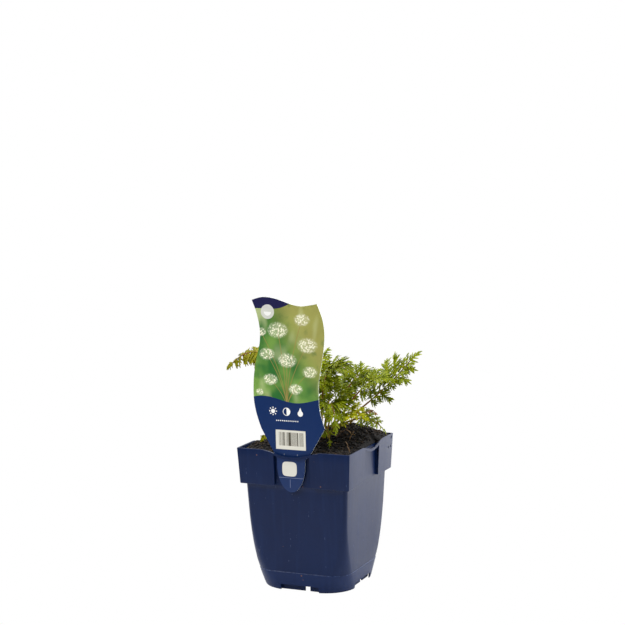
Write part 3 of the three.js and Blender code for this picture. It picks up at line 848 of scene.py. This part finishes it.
# %% The sheet
def through(points, samples):
    """A curve through points: between two of them it is the cubic whose slope at each end is
    half the step between that point's neighbours."""
    points = np.asarray(points, float)
    padded = np.concatenate([points[:1], points, points[-1:]])
    place = np.linspace(0, len(points) - 1, samples)
    first = np.minimum(place.astype(int), len(points) - 2)
    t = (place - first)[:, None]
    before, start, end, after = (padded[first + i] for i in range(4))
    slope_in, slope_out = (end - before) / 2, (after - start) / 2
    cubic = 2 * start - 2 * end + slope_in + slope_out
    square = -3 * start + 3 * end - 2 * slope_in - slope_out
    return cubic * t**3 + square * t**2 + slope_in * t + start


def label_edges(rows=44):
    """The left and right edge from the tongue's end, half an ellipse, to the top, row by row."""
    angle = np.radians(np.append(np.linspace(86, 58, 6), np.linspace(48, 0, 6)))
    round_z = tongue_bottom + tongue_taper * (1 - np.sin(angle))
    edges = []
    for side, corner, curve in zip((-1, 1), label_shoulders, (label_left, label_right)):
        x = tongue_middle + side * tongue_half * np.cos(angle)
        tongue = [*zip(x, round_z), (x[-1], tongue_top), corner]
        edges.append(np.concatenate([tongue, through(curve, rows)]))
    return edges


def make_label(columns=24):
    """Each row runs from the left edge to the right one, and the last rows bend to the top line.

    The sheet bows by 1.1 (1 - (x / 36)^2) sin(pi s) mm to the front above the pot, with s from
    0 at the strap to 1 at the top."""
    left, right = label_edges()
    share = np.linspace(0, 1, columns)[None, :, None]
    sheet = left[:, None] * (1 - share) + right[:, None] * share
    rise = smooth((np.arange(len(left)) - len(left) + 12) / 11)[:, None, None]
    sheet = sheet + (through(label_top, columns) - sheet[-1])[None] * rise
    x, z = sheet[..., 0], sheet[..., 1]
    height = np.clip((z - bow_foot) / bow_height, 0, 1)
    face = label_face - bow_depth * (1 - (x / bow_half) ** 2) * np.sin(np.pi * height)
    grids = [np.stack([x, face + side * label_thickness / 2, z], axis=-1) for side in (-1, 1)]
    numbers = np.arange(x.size).reshape(x.shape)
    corners = numbers[:-1, :-1], numbers[:-1, 1:], numbers[1:, 1:], numbers[1:, :-1]
    front = np.stack(corners, axis=-1).reshape(-1, 4)
    back = (front + x.size)[:, ::-1]
    border = np.concatenate([numbers[0], numbers[1:, -1], numbers[-1, -2::-1], numbers[-2:0:-1, 0]])
    after = np.roll(border, -1)
    cut = np.stack([after, border, border + x.size, after + x.size], axis=1)
    faces = np.concatenate([front, back, cut]).tolist()
    label = add_object("label_sheet", np.concatenate(grids).reshape(-1, 3), faces, sharp=40)
    kinds = np.repeat([0, 1, 2], [len(front), len(back), len(cut)])
    label.data.polygons.foreach_set("material_index", kinds)
    return label


label = make_label()

# %% [markdown]
# ### The label's print
#
# The print is drawn with distances: a disc is where the distance to a point is under its radius,
# a stalk where the distance to a curve is. The picture is a generic one, round heads of small
# cream flowers over blurred greens, and plain care signs stand where words would be.


# %% Drawing with distances
class Print(Finish):
    """Masks on the label's x and z, in millimetres, with edges a fraction of a millimetre soft."""

    def __init__(self, name, **settings):
        super().__init__(name, **settings)
        self.x, _, self.z = self.axes()

    def inside(self, distance, soft=0.12):
        """1 where a signed distance is below 0."""
        return 1 - self.fade(distance, -soft, soft)

    def ellipse(self, x, z, width, height):
        """1 on an ellipse's edge, less inside it and more outside."""
        across, up = (self.x - x) / width, (self.z - z) / height
        return (across * across + up * up) ** 0.5

    def disc(self, x, z, radius):
        return self.inside(self.ellipse(x, z, 1, 1) - radius)

    def ring(self, x, z, radius, inner):
        return self.disc(x, z, radius) * (1 - self.disc(x, z, inner))

    def cushion(self, x, z, width, height):
        """A square with round corners: where across^4 + up^4 is under 1."""
        across, up = ((self.x - x) / width) ** 2, ((self.z - z) / height) ** 2
        return self.inside(across * across + up * up - 1, 0.06)

    def box(self, left, right, low, high):
        across = (self.x - (left + right) / 2).size() - (right - left) / 2
        up = (self.z - (low + high) / 2).size() - (high - low) / 2
        return self.inside(across | up)

    def stalk(self, foot, top, bend=1.7, half=0.3):
        """A line whose x is x0 + (x1 - x0) s^bend, with s from 0 at its foot to 1 at its top."""
        rise = ((self.z - foot[1]) / (top[1] - foot[1])).held()
        line = rise**bend * (top[0] - foot[0]) + foot[0]
        between = (self.z > foot[1]) * (self.z < top[1])
        return self.inside((self.x - line).size() - half, 0.25) * between


# %% The blurred greens and the flower heads
# Place, x and z, and radius of each head
flower_heads = [(-13, 243, 11), (11, 253, 8.5), (16, 230, 10.5), (-24, 221, 8.5), (-4, 216, 10),
                (18, 206, 8), (-21, 198, 8), (4, 190, 7.5), (-30, 241, 6), (-32, 186, 4.5)]
stalk_foot = (-5, 172)


def draw_picture(draw):
    greens = draw.fade(draw.noise(26.0, 2.0), 0.35, 0.65)
    draw.colour(draw.blend(greens, shade(40, 100, 44), shade(108, 146, 66)))
    draw.coat(draw.fade(draw.x * 0.8 + draw.z * 0.5 - 118, -14.0, 16.0) * 0.85, 160, 154, 84)
    draw.coat(draw.fade(draw.noise(9.0), 0.55, 0.8) * 0.6, 44, 92, 50)
    pale = draw.noise(14.0, 1.0, draw.stretched((1, 1, 0.4)))
    draw.coat(draw.fade(pale, 0.55, 0.8) * 0.6, 198, 204, 150)
    for x, z, _ in flower_heads:
        draw.coat(draw.stalk(stalk_foot, (x, z)) * 0.85, 150, 128, 70)
    florets = 1 - draw.fade(draw.cells(1.5), 0.34, 0.62)
    for x, z, radius in flower_heads:
        head = 1 - draw.fade(draw.ellipse(x, z, radius, radius * 0.72), 0.55, 1.05)
        draw.coat(head * (0.25 + florets * 0.75), 236, 234, 206)


# %% Signs and stripes
signs_level = 169
sun_x, half_sun_x, drop_x = -19, -5.5, 8
dots_left, dots_right, dots_level, dots_step = -16.5, 6.3, 160.6, 1.9
bar_box = {"left": -16.9, "right": 12.6, "low": 134.2, "high": 152.0}
bar_width = 0.36


def care_signs(draw):
    """A sun, a half shaded disc and a drop, with a row of twelve dots for the months below."""
    turn = (draw.z - signs_level).maths("ARCTAN2", draw.x - sun_x)
    rays = draw.ring(sun_x, signs_level, 3.9, 2.8) * ((turn * 8).maths("COSINE") > 0.35)
    sun = draw.disc(sun_x, signs_level, 2.0) | rays
    shaded = draw.disc(half_sun_x, signs_level, 3.4) * (draw.x > half_sun_x)
    half_sun = draw.ring(half_sun_x, signs_level, 3.7, 3.1) | shaded
    taper = (signs_level + 4.4 - draw.z) / 5.6 * 2.35
    spike = draw.inside((draw.x - drop_x).size() - taper) * (draw.z > signs_level - 0.6)
    drop = draw.disc(drop_x, signs_level - 1.2, 2.6) | spike
    along = (((draw.x - dots_left) / dots_step).maths("FRACT") - 0.5) * dots_step
    away = (along**2 + (draw.z - dots_level) * (draw.z - dots_level)) ** 0.5
    dots = draw.inside(away - 0.55) * (draw.x > dots_left) * (draw.x < dots_right)
    return sun | half_sun | drop | dots


def bar_stripes(draw):
    """Upright bars of chance widths, from narrow strips that each have a chance number.

    One strip of two is dark where its number is over 0.15, the other where it is over 0.65."""
    strip = (draw.x / bar_width).maths("FLOOR")
    line = {"noise_dimensions": "1D"}
    chance = draw.node("ShaderNodeTexWhiteNoise", line, {"W": strip + 17}, "Value")
    second = (strip / 2).maths("FRACT")
    left, right = bar_box["left"] + 3.2, bar_box["right"] - 2.0
    field = draw.box(left, right, bar_box["low"] + 3.4, bar_box["high"] - 1.9)
    return (chance > 0.15 + second) * field


# %% The printed front
navy, pale_ink = (9, 38, 84), (232, 232, 228)
badge_x, badge_level = -22.9, 259.4


def front_finish():
    draw = Print("label_front", IOR=1.28)
    draw_picture(draw)
    wave = ((draw.x + 28) * (2 * math.pi / 64)).maths("COSINE") * 2.6 + 179.9
    draw.coat(draw.inside(draw.z - wave), *navy)
    swell = (draw.x + 17) | 0.0
    draw.coat(draw.inside(262.3 + swell * swell * 0.02 - draw.z), 30, 30, 70)
    draw.coat(draw.disc(badge_x, badge_level, 6.6) * 0.92, 206, 206, 200)
    draw.coat(draw.disc(badge_x, badge_level, 3.6) * (draw.z < badge_level), *pale_ink)
    draw.coat(care_signs(draw), *pale_ink)
    draw.coat(draw.box(**bar_box), 208, 206, 194)
    draw.coat(bar_stripes(draw), 78, 74, 64)
    draw.coat(draw.inside(draw.z - 126.8) * 0.4, 34, 48, 84)
    ticks = draw.box(-9.2, -8.9, 128.8, 130.2) | draw.box(3.9, 4.2, 128.8, 130.2)
    draw.coat(ticks * 0.5, *pale_ink)
    draw.coat(draw.cushion(-4, 116.2, 7.2, 6.7), 202, 200, 190)
    lines = draw.box(-16, 11.5, 107.9, 108.2) | draw.box(-3.6, -3.3, 99, 106.6)
    draw.coat(lines * 0.55, 150, 160, 190)
    draw.rough(0.28 + draw.noise(20.0, 2.0) * 0.12)
    draw.bump(draw.noise(30.0, 2.0) * 4 + draw.noise(0.4, 1.0) * 0.05, 0.1)
    return draw


# %% The unprinted back and the cut edge
def back_finish():
    draw = Print("label_back", Roughness=0.4)
    draw.colour(draw.blend(draw.noise(18.0), shade(146, 147, 143), shade(162, 162, 158)))
    draw.coat(draw.inside(draw.z - 150), *navy)
    draw.bump(draw.noise(0.6), 0.03)
    return draw


def edge_finish():
    finish = Finish("label_cut_edge")
    finish.colour(finish.blend(finish.noise(3.0, 2.0), shade(190, 200, 190), shade(232, 236, 228)))
    return finish


dress(label, "label_print", front_finish(), back_finish(), edge_finish(), stands_for=["label"])

# %% [markdown]
# ## The leaves
#
# A leaf of this plant is cut two or three times over: a stalk carries pairs of leaflets, each
# leaflet is cut to its rib into narrow lobes, and each lobe has a few teeth that point forwards.
# The stalks and leaflets follow the rule of the CAD solids. Here each leaflet's blade is
# made of lens-shaped lobes, a few dozen faces each, that grow from a narrow web along the rib.

# %% The leaves' sizes, in millimetres and degrees
stalk_radius, stalk_tip_radius = 1.0, 0.42
root_depth, foot_height = 7.0, 3.0
first_angle, last_angle = 72.0, 45.0
fold_range, twist_range = 22.0, 50.0
droop, cross_arch = 0.22, 0.012
lobe_gap, lobe_share = 3.3, 0.42
lobe_fold, lobe_tilt, lobe_twist, lobe_hang = 0.45, 0.6, 1.1, 0.15
leaf_columns = ("name", "foot", "knee", "tip", "bare", "pairs", "span", "roll", "fold", "kind")
leaf_rows = [
    ("leaf_right", (16, 8), (59, 14, 175), (87, 18, 209), 0.55, 4, 26, 42, 12, "green"),
    ("leaf_upper_right", (15, 3), (48, 3, 196), (67, -1, 195), 0.5, 3, 23, 28, 10, "green"),
    ("leaf_top", (4, 5), (2, 6, 220), (32, 1, 200), 0.55, 4, 22, 16, 12, "green"),
    ("leaf_left", (-7, -1), (-34, -12, 246), (-74, -25, 206), 0.6, 4, 17, -35, -20, "bronze"),
    ("leaf_yellow", (17, -10), (36, -16, 172), (52, -19, 164), 0.45, 2, 18, 35, 10, "yellow"),
    ("leaf_low_right", (20, 9), (43, 9, 162), (60, 11, 148), 0.5, 2, 15, 28, 12, "green"),
    ("leaf_drooping_small", (5, -13), (21, -24, 158), (26, -30, 140), 0.45, 1, 12, 0, 0, "green"),
    ("leaf_front_right", (11, -9), (22, -18, 193), (34, -35, 160), 0.42, 4, 24, 0, 12, "green"),
    ("leaf_middle_right", (10, 3), (19, 6, 184), (33, 5, 177), 0.45, 3, 17, 35, 10, "green"),
    ("leaf_middle", (6, -4), (12, -9, 204), (19, -21, 190), 0.42, 3, 20, 0, 12, "green"),
    ("leaf_back_right", (11, 15), (24, 28, 198), (41, 38, 195), 0.5, 3, 20, 25, 12, "green"),
    ("leaf_back", (3, 15), (2, 34, 192), (-5, 63, 182), 0.45, 3, 26, 0, 12, "green"),
    ("leaf_back_left", (-5, 9), (-26, 22, 187), (-58, 34, 174), 0.45, 3, 25, 0, 12, "green"),
    ("leaf_front_left", (-7, -6), (-23, -19, 166), (-40, -28, 140), 0.5, 1, 14, 0, 0, "yellow"),
    ("leaf_front", (-1, -8), (-6, -14, 188), (-14, -32, 176), 0.45, 2, 18, 0, 12, "green"),
    ("leaf_inner", (0, 3), (-3, 7, 194), (1, 19, 210), 0.5, 3, 21, 0, 12, "green"),
    ("leaf_withered", (25, 24), (38, 26, 161), (48, 24, 158), 0.6, 1, 8, 0, 0, "withered"),
]
# "sides" is how long the first leaflets on a leaf's sides are, as a share of the usual, "early"
# adds small pairs before the first, "tip_turn" turns the last leaflet round its own rib and "web"
# widens the blade along the ribs
leaf_extras = {"leaf_right": {"sides": {-1: (1, 1.2, 1.2), 1: (0.65, 0.45)}, "early": 2},
               "leaf_left": {"sides": {-1: (0.85, 0.95)}, "tip_turn": -45, "web": 2.2},
               "leaf_inner": {"early": 2}, "leaf_middle": {"early": 2},
               "leaf_back_right": {"early": 2},
               "leaf_front_left": {"tip_turn": -61, "web": 2.2}}
usual_leaf = {"sides": {}, "early": 0, "tip_turn": 0.0, "web": 1.0}
leaves = [usual_leaf | dict(zip(leaf_columns, row)) | leaf_extras.get(row[0], {})
          for row in leaf_rows]
print("leaves:", len(leaves))


# %% A stalk's route
def foot_point(foot):
    """Where a stem leaves the compost, a little above its even height."""
    return np.array([*foot, soil_height(*foot) + foot_height], float)


def root_point(foot, following):
    """The buried end: half way between straight down and the stem's own lean."""
    down = unit(foot - following) - [0, 0, 1]
    return foot + unit(down) * (root_depth + foot_height)


def leaf_route(leaf, share):
    """Point and slope of (1 - t)^2 foot + 2 t (1 - t) knee + t^2 tip."""
    foot, knee, tip = foot_point(leaf["foot"]), np.array(leaf["knee"]), np.array(leaf["tip"])
    t = np.asarray(share, float)[..., None]
    point = (1 - t) ** 2 * foot + 2 * t * (1 - t) * knee + t**2 * tip
    slope = 2 * (1 - t) * (knee - foot) + 2 * t * (tip - knee)
    return point, unit(slope)


# %% A lobe's shape
teeth = 3
tooth_step = 0.8 / teeth
notch = 0.07 + tooth_step * np.arange(teeth)
lobe_places = np.append(np.stack([notch, notch + 0.62 * tooth_step], axis=1).ravel(), 0.89)
is_tooth = np.append(np.tile([0.0, 1.0], teeth), 0.0)
lobe_taper = (1.08 - lobe_places) ** 0.7
lobe_taper[0] = 0.95
lobe_around = np.array([-1, -0.5, 0, 0.5, 1, 0.5, 0, -0.5])
lobe_faces_up = np.array([0, 1, 1, 1, 0, -1, -1, -1])
lobe_thickness, web_thickness = 0.17, 0.14
lobe_sweep, lobe_fall = 1.1, 0.1
blade_notes = {"vein": np.abs(lobe_around), "under": (lobe_faces_up < 0) * 1.0, "stem": 0.0}


def lobe_grid(reach, half):
    """Along, across and lift of a lobe's rings, one lobe for each reach and half width.

    Along is reach t + sweep |v| w, so that the teeth point forwards, and across is v w, where w
    is the half width at t: half (1.08 - t)^0.7, and less in the notches, the more so the longer
    the lobe. The lift is thickness (1 - v^2), a fold |v| w and a fall with t^2."""
    reach, half = reach[:, None, None], half[:, None, None]
    tooth, place = is_tooth[:, None], lobe_places[:, None]
    notched = 0.12 + 0.34 * np.minimum(1, reach / 9)
    wide = half * lobe_taper[:, None] * (1 - notched * (1 - tooth))
    along = reach * place + lobe_sweep * tooth * np.abs(lobe_around) * wide
    lens = lobe_faces_up * lobe_thickness * (1 - lobe_around**2)
    lift = lens + lobe_fold * np.abs(lobe_around) * wide - lobe_fall * reach * place**2
    return along, lobe_around * wide, lift


# %% A leaflet
def leaflet_lobes(length, seed):
    """Foot, angle, reach and half width of each lobe of a leaflet, hand by hand.

    Lobe k of n starts at 0.12 L + 0.76 L k / n, leaves the rib at 54 - 24 k / n degrees and is
    0.42 L (1 - 0.62 k / n) long, give or take 16 percent."""
    pairs = max(2, int(round(length / lobe_gap)))
    share = np.repeat(np.arange(pairs) / pairs, 2)
    hand, number = np.tile([-1.0, 1.0], pairs), np.arange(2 * pairs)
    chance = scatter(seed * 1.7 + number)
    foot = length * (0.12 + 0.76 * share) + (chance - 0.5) * 1.1
    angle = hand * (54 - 24 * share + (scatter(seed + 40 + number) - 0.5) * 14)
    reach = lobe_share * length * (1 - 0.62 * share) * (0.84 + 0.32 * chance) + 1.0
    reach = np.append(reach, length * 0.2 + 0.8)
    return np.append(foot, length * 0.8), np.append(angle, 0.0), reach, 0.1 * reach + 0.7


def add_web(skin, surface, length, tint, breadth):
    """A strip of blade on the rib that joins the lobes: (0.8 + 0.035 L) sqrt(1.04 - u / L) wide on
    each hand, times its breadth, and narrower at its foot."""
    u = np.linspace(0.05, 0.97, 11) * length
    wide = (0.8 + 0.035 * length) * np.sqrt(1.04 - u / length) * np.minimum(1, 0.35 + 4 * u / length)
    v = lobe_around * (wide * breadth)[:, None]
    lens = lobe_faces_up * web_thickness * (1 - lobe_around**2)
    rings = surface(u[:, None] + v * 0, v, lens + v * 0)[None]
    ends = [surface(u[[end]], u[[end]] * 0, u[[end]] * 0) for end in (0, -1)]
    skin.add(rings, *ends, tint=tint, tip=0.2, **blade_notes)


def add_leaflet(skin, base, along, across, length, seed, web):
    """Lays a leaflet's rib, web and lobes on base + along u + across v - normal s, where the sag
    s is 0.22 u^2 / L + 0.012 v^2."""
    normal = np.cross(along, across)

    def surface(u, v, lift):
        sag = -droop * u * u / length - cross_arch * v * v + lift
        return base + along * u[..., None] + across * v[..., None] + normal * sag[..., None]

    foot, angle, reach, half = leaflet_lobes(length, seed)
    turn = np.radians(angle)[:, None, None]
    number = np.arange(len(foot)) + seed * 3
    tilt = (scatter(number + 5) - 0.5)[:, None, None] * lobe_tilt - lobe_hang
    twist = (scatter(number + 9) - 0.5)[:, None, None] * lobe_twist
    u, v, lift = lobe_grid(reach, half)
    rings = surface(foot[:, None, None] + u * np.cos(turn) - v * np.sin(turn),
                    u * np.sin(turn) + v * np.cos(turn), lift + tilt * u + twist * v)
    ends = []
    for place in (reach * 0, reach):
        lifted = tilt[:, 0, 0] * place - lobe_fall * place**2 / reach
        u, v = foot + place * np.cos(turn[:, 0, 0]), place * np.sin(turn[:, 0, 0])
        ends.append(surface(u, v, lifted))
    skin.add(rings, *ends, tint=scatter(number + 21)[:, None, None],
             tip=lobe_places[None, :, None], **blade_notes)
    add_web(skin, surface, length, scatter(seed + 21), web)
    rib = np.linspace(0, length * 0.92, 8)
    path = surface(rib, rib * 0, rib * 0 + 0.05)[None]
    skin.add_tubes(path, np.linspace(0.3, 0.12, 8)[None], 5,
                   tint=0.5, vein=0.0, under=0.0, tip=0.2, stem=0.6)


# %% A whole leaf
def make_leaf(leaf, number, samples=26):
    """The stalk, pairs of leaflets that shorten towards its tip, and one leaflet at the end.

    A smaller pair stands in each space between two pairs of the solid. Where a leaf has "sides",
    the first leaflets of a side are that much shorter or longer."""
    skin = Skin()
    points, _ = leaf_route(leaf, np.linspace(0, 1, samples))
    path = np.concatenate([root_point(points[0], points[3])[None], points])[None]
    thin = np.maximum(0, np.arange(samples + 1) - 1) / samples
    radii = (stalk_radius + (stalk_tip_radius - stalk_radius) * thin)[None]
    skin.add_tubes(path, radii, 8, tint=0.5, vein=0.0, under=0.0, tip=thin[None, :, None], stem=1.0)
    steps = 2 * leaf["pairs"]
    for step in range(-leaf["early"], steps + 1):
        share = step / steps
        place = min(0.99, leaf["bare"] + (1 - leaf["bare"]) * share)
        base, along = leaf_route(leaf, place)
        side = turned(unit(np.cross(along, [0, 0, 1])), along, leaf["roll"])
        normal = np.cross(side, along)
        between = step % 2
        small = 0.6 if step < 0 else 1 - 0.08 * between
        for hand in (0,) if step == steps else (-1, 1):
            seed = number * 100 + step // 2 * 10 + hand * 3 + 5 * between
            angle = hand * (first_angle + (last_angle - first_angle) * share)
            lift = leaf["fold"] + fold_range * (scatter(seed) - 0.5)
            direction = turned(along, normal, -angle)
            across = np.cross(normal, direction)
            direction = turned(direction, across, -lift * abs(hand))
            twist = twist_range * (scatter(seed + 1) - 0.5) + leaf["tip_turn"] * (hand == 0)
            across = turned(across, direction, twist)
            size = (1 - 0.6 * share) * (0.86 + 0.28 * scatter(seed + 2)) if hand else 0.55
            shares = (*leaf["sides"].get(hand, ()), 1.0)
            kept = np.interp(step / 2, np.arange(len(shares)), shares)
            length = leaf["span"] * size * kept * small
            add_leaflet(skin, base, direction, across, length, seed, leaf["web"])
    return skin.piece(leaf["name"] + "_fine", sharp=62)


# %% [markdown]
# ### The leaves' finish
#
# A fresh leaf is yellow green and a little glossy. Its colour changes from lobe to lobe, the veins
# are paler, the underside is dull, and the stalks are flushed red brown where the sun reaches
# them. Light shines through a blade, so a translucent shader is mixed in.

# %% Leaf material
# Dark and light tone of a blade, and the tone of its tips
leaf_tones = {
    "green": ((46, 72, 0), (154, 166, 0), (190, 182, 14)),
    "yellow": ((140, 152, 10), (190, 188, 24), (206, 170, 50)),
    "bronze": ((92, 98, 0), (150, 146, 10), (150, 98, 18)),
    "withered": ((110, 76, 34), (168, 122, 62), (120, 70, 30)),
}


def leaf_finish(kind):
    finish = Finish("leaf_" + kind, Specular_IOR_Level=0.12)
    dark, light, tip_tone = leaf_tones[kind]
    tint, vein, under, tip, stem = map(finish.note, ("tint", "vein", "under", "tip", "stem"))
    blotch = finish.noise(5.0)
    mottle = (tint * 0.6 + blotch * 0.7 - 0.15).held()
    finish.colour(finish.blend(mottle, shade(*dark), shade(*light)))
    finish.coat(finish.fade(tip, 0.55, 1.0) * 0.35, *tip_tone)
    finish.coat((1 - finish.fade(vein, 0.0, 0.35)) * 0.3, *light)
    finish.coat(under * 0.25, 132, 150, 60)
    flush = finish.fade(finish.noise(11.0, 2.0), 0.35, 0.65)
    stalk_tone = finish.blend(flush, shade(134, 130, 34), shade(136, 78, 42))
    finish.colour(finish.blend(finish.fade(stem, 0.2, 0.9), finish.tone, stalk_tone))
    finish.rough(0.36 + blotch * 0.2 + under * 0.2)
    finish.bump(finish.noise(0.5) + vein * 0.8, 0.12)
    glow = tuple(0.25 * low + 0.75 * high for low, high in zip(shade(*dark), shade(*light)))
    finish.mix_shader(0.2, finish.node("ShaderNodeBsdfTranslucent", None, {"Color": glow}))
    return finish


leaf_finishes = {kind: leaf_finish(kind) for kind in leaf_tones}
for number, leaf in enumerate(leaves, start=1):
    piece = make_leaf(leaf, number)
    dress(piece, "leaf_" + leaf["kind"], leaf_finishes[leaf["kind"]], stands_for=[leaf["name"]])

# %% [markdown]
# ## Dried stems
#
# Last year's stems are thin brown straws that lean in the compost, slightly crooked and broken
# off. Each one follows the line of its solid.

# %% The dried stems, each with its foot and its top
dried_rows = [
    ("dried_stem_1", (25, -8), (35, -8, 148.5)),
    ("dried_stem_2", (47, -35), (44, -35, 141.5)),
    ("dried_stem_3", (37, -7), (41, -7, 145.5)),
    ("dried_stem_4", (33, 2), (29.5, 2, 144.5)),
]


def make_dried_stem(name, foot, top, number, steps=18):
    """root + (top - root) t, with a crook of 0.45 sin(9 t) mm and joints thicker by a quarter."""
    start, end = foot_point(foot), np.array(top, float)
    t = np.linspace(0, 1, steps)[:, None]
    path = start + (end - start) * t
    path[:, 0] += 0.45 * np.sin(9 * t[:, 0] + number) * np.sin(np.pi * t[:, 0])
    path = np.concatenate([root_point(start, end)[None], path])[None]
    joints = 1 + 0.25 * (np.cos(np.arange(steps + 1) * 1.3 + number) > 0.8)
    skin = Skin()
    skin.add_tubes(path, (np.linspace(0.5, 0.32, steps + 1) * joints)[None], 7, tint=0.2 * number)
    return skin.piece(name + "_fine", sharp=60)


straw = crumb_finish("dry_straw", (74, 54, 40), (146, 118, 82), 0.75)
for number, (name, foot, top) in enumerate(dried_rows, start=1):
    dress(make_dried_stem(name, foot, top, number), "dried_stem", straw, stands_for=[name])

# %% [markdown]
# ## Studio
#
# The photograph shows the object alone on white. A pale floor runs out into a pale surround that
# is brightest behind the object, so that the pot's right side takes a sheen from it at a glancing
# angle. The camera itself sees neither, only even white. Two large soft lights stand above, at
# the left and at the front.


# %% Floor
def make_floor(radius=900.0):
    """A round sheet that fades out towards its edge and gives a little light of its own."""
    floor = add_object("floor", np.insert(disc(0, 0, radius, 96), 2, 0, axis=1), [list(range(96))])
    finish = Finish("pale_floor", Roughness=0.9, Emission_Color=shade(255, 255, 255),
                    Emission_Strength=0.35)
    x, y, _ = finish.axes()
    away = (x * x + y * y) ** 0.5
    finish.colour(finish.blend(finish.noise(3.0, 2.0), shade(196, 196, 196), shade(200, 200, 200)))
    clear = finish.fade(away, 200.0, 850.0) | finish.camera_ray()
    finish.mix_shader(clear, finish.node("ShaderNodeBsdfTransparent"))
    floor.data.materials.append(finish.material)
    floor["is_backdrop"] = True


make_floor()


# %% Surround and lights
def make_surround(front=0.15, behind=3.15):
    """Its level rises smoothly from front to back, and is 1 for the camera."""
    world = bpy.data.worlds.new("studio")
    bpy.context.scene.world = world
    sky = Nodes(world)
    split = sky.node("ShaderNodeSeparateXYZ", None, {0: sky.node("ShaderNodeTexCoord")}, "Y")
    level = sky.fade(split, -0.55, 0.45) * (behind - front) + front
    seen = sky.camera_ray()
    background = sky.tree.nodes["Background"].inputs
    sky.link((1, 1, 1, 1), background["Color"])
    sky.link(level * (1 - seen) + seen, background["Strength"])


def facing(place, aim, roll=0.0):
    """The matrix of a lamp or a camera that looks from a place at its aim.

    It is rolled by some degrees about its own line of sight."""
    back = unit(np.array(place, float) - np.array(aim, float))
    right = turned(unit(np.cross([0, 0, 1], back)), back, roll)
    turn = np.column_stack([right, np.cross(back, right), back])
    return Matrix.Translation(place) @ Matrix(turn.tolist()).to_4x4()


def add_light(name, place, aim, size, power):
    """A square soft light. Its place and its size are in metres."""
    lamp = bpy.data.lights.new(name, "AREA")
    lamp.size, lamp.energy = size, power
    light = bpy.data.objects.new(name, lamp)
    bpy.context.scene.collection.objects.link(light)
    light.matrix_world = facing(place, aim)


make_surround()
add_light("key_light", (-0.75, -0.9, 1.15), (0, 0, 0.12), 0.8, 21)
add_light("top_light", (0.35, 0.15, 1.3), (0, 0, 0.15), 0.7, 9)

# %% [markdown]
# ## Camera
#
# The camera stands where the photographer's did: about 1.5 m away, 23 degrees round to the right of
# the label and a little above it, found from the pot's upright and level edges in the photograph.

# %% The photograph's camera
camera_place, camera_aim, camera_roll = (0.57793, -1.33565, 0.42338), (-0.00184, 0, 0.25321), -0.9604
photo_width, pixels_per_radian = 625, 1581.03
lens = bpy.data.cameras.new("camera")
lens.sensor_width = 36
lens.lens = lens.sensor_width * pixels_per_radian / photo_width
camera = bpy.data.objects.new("camera", lens)
bpy.context.scene.collection.objects.link(camera)
camera.matrix_world = facing(camera_place, camera_aim, camera_roll)
bpy.context.scene.camera = camera
bpy.context.scene.view_settings.view_transform = "Standard"

# %% Sizes of the CAD model and of the finished scene
boxes = {"cad": cad_box, "visual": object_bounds()}
boxes = {name: [list(corner) for corner in box] for name, box in boxes.items()}
print(boxes)
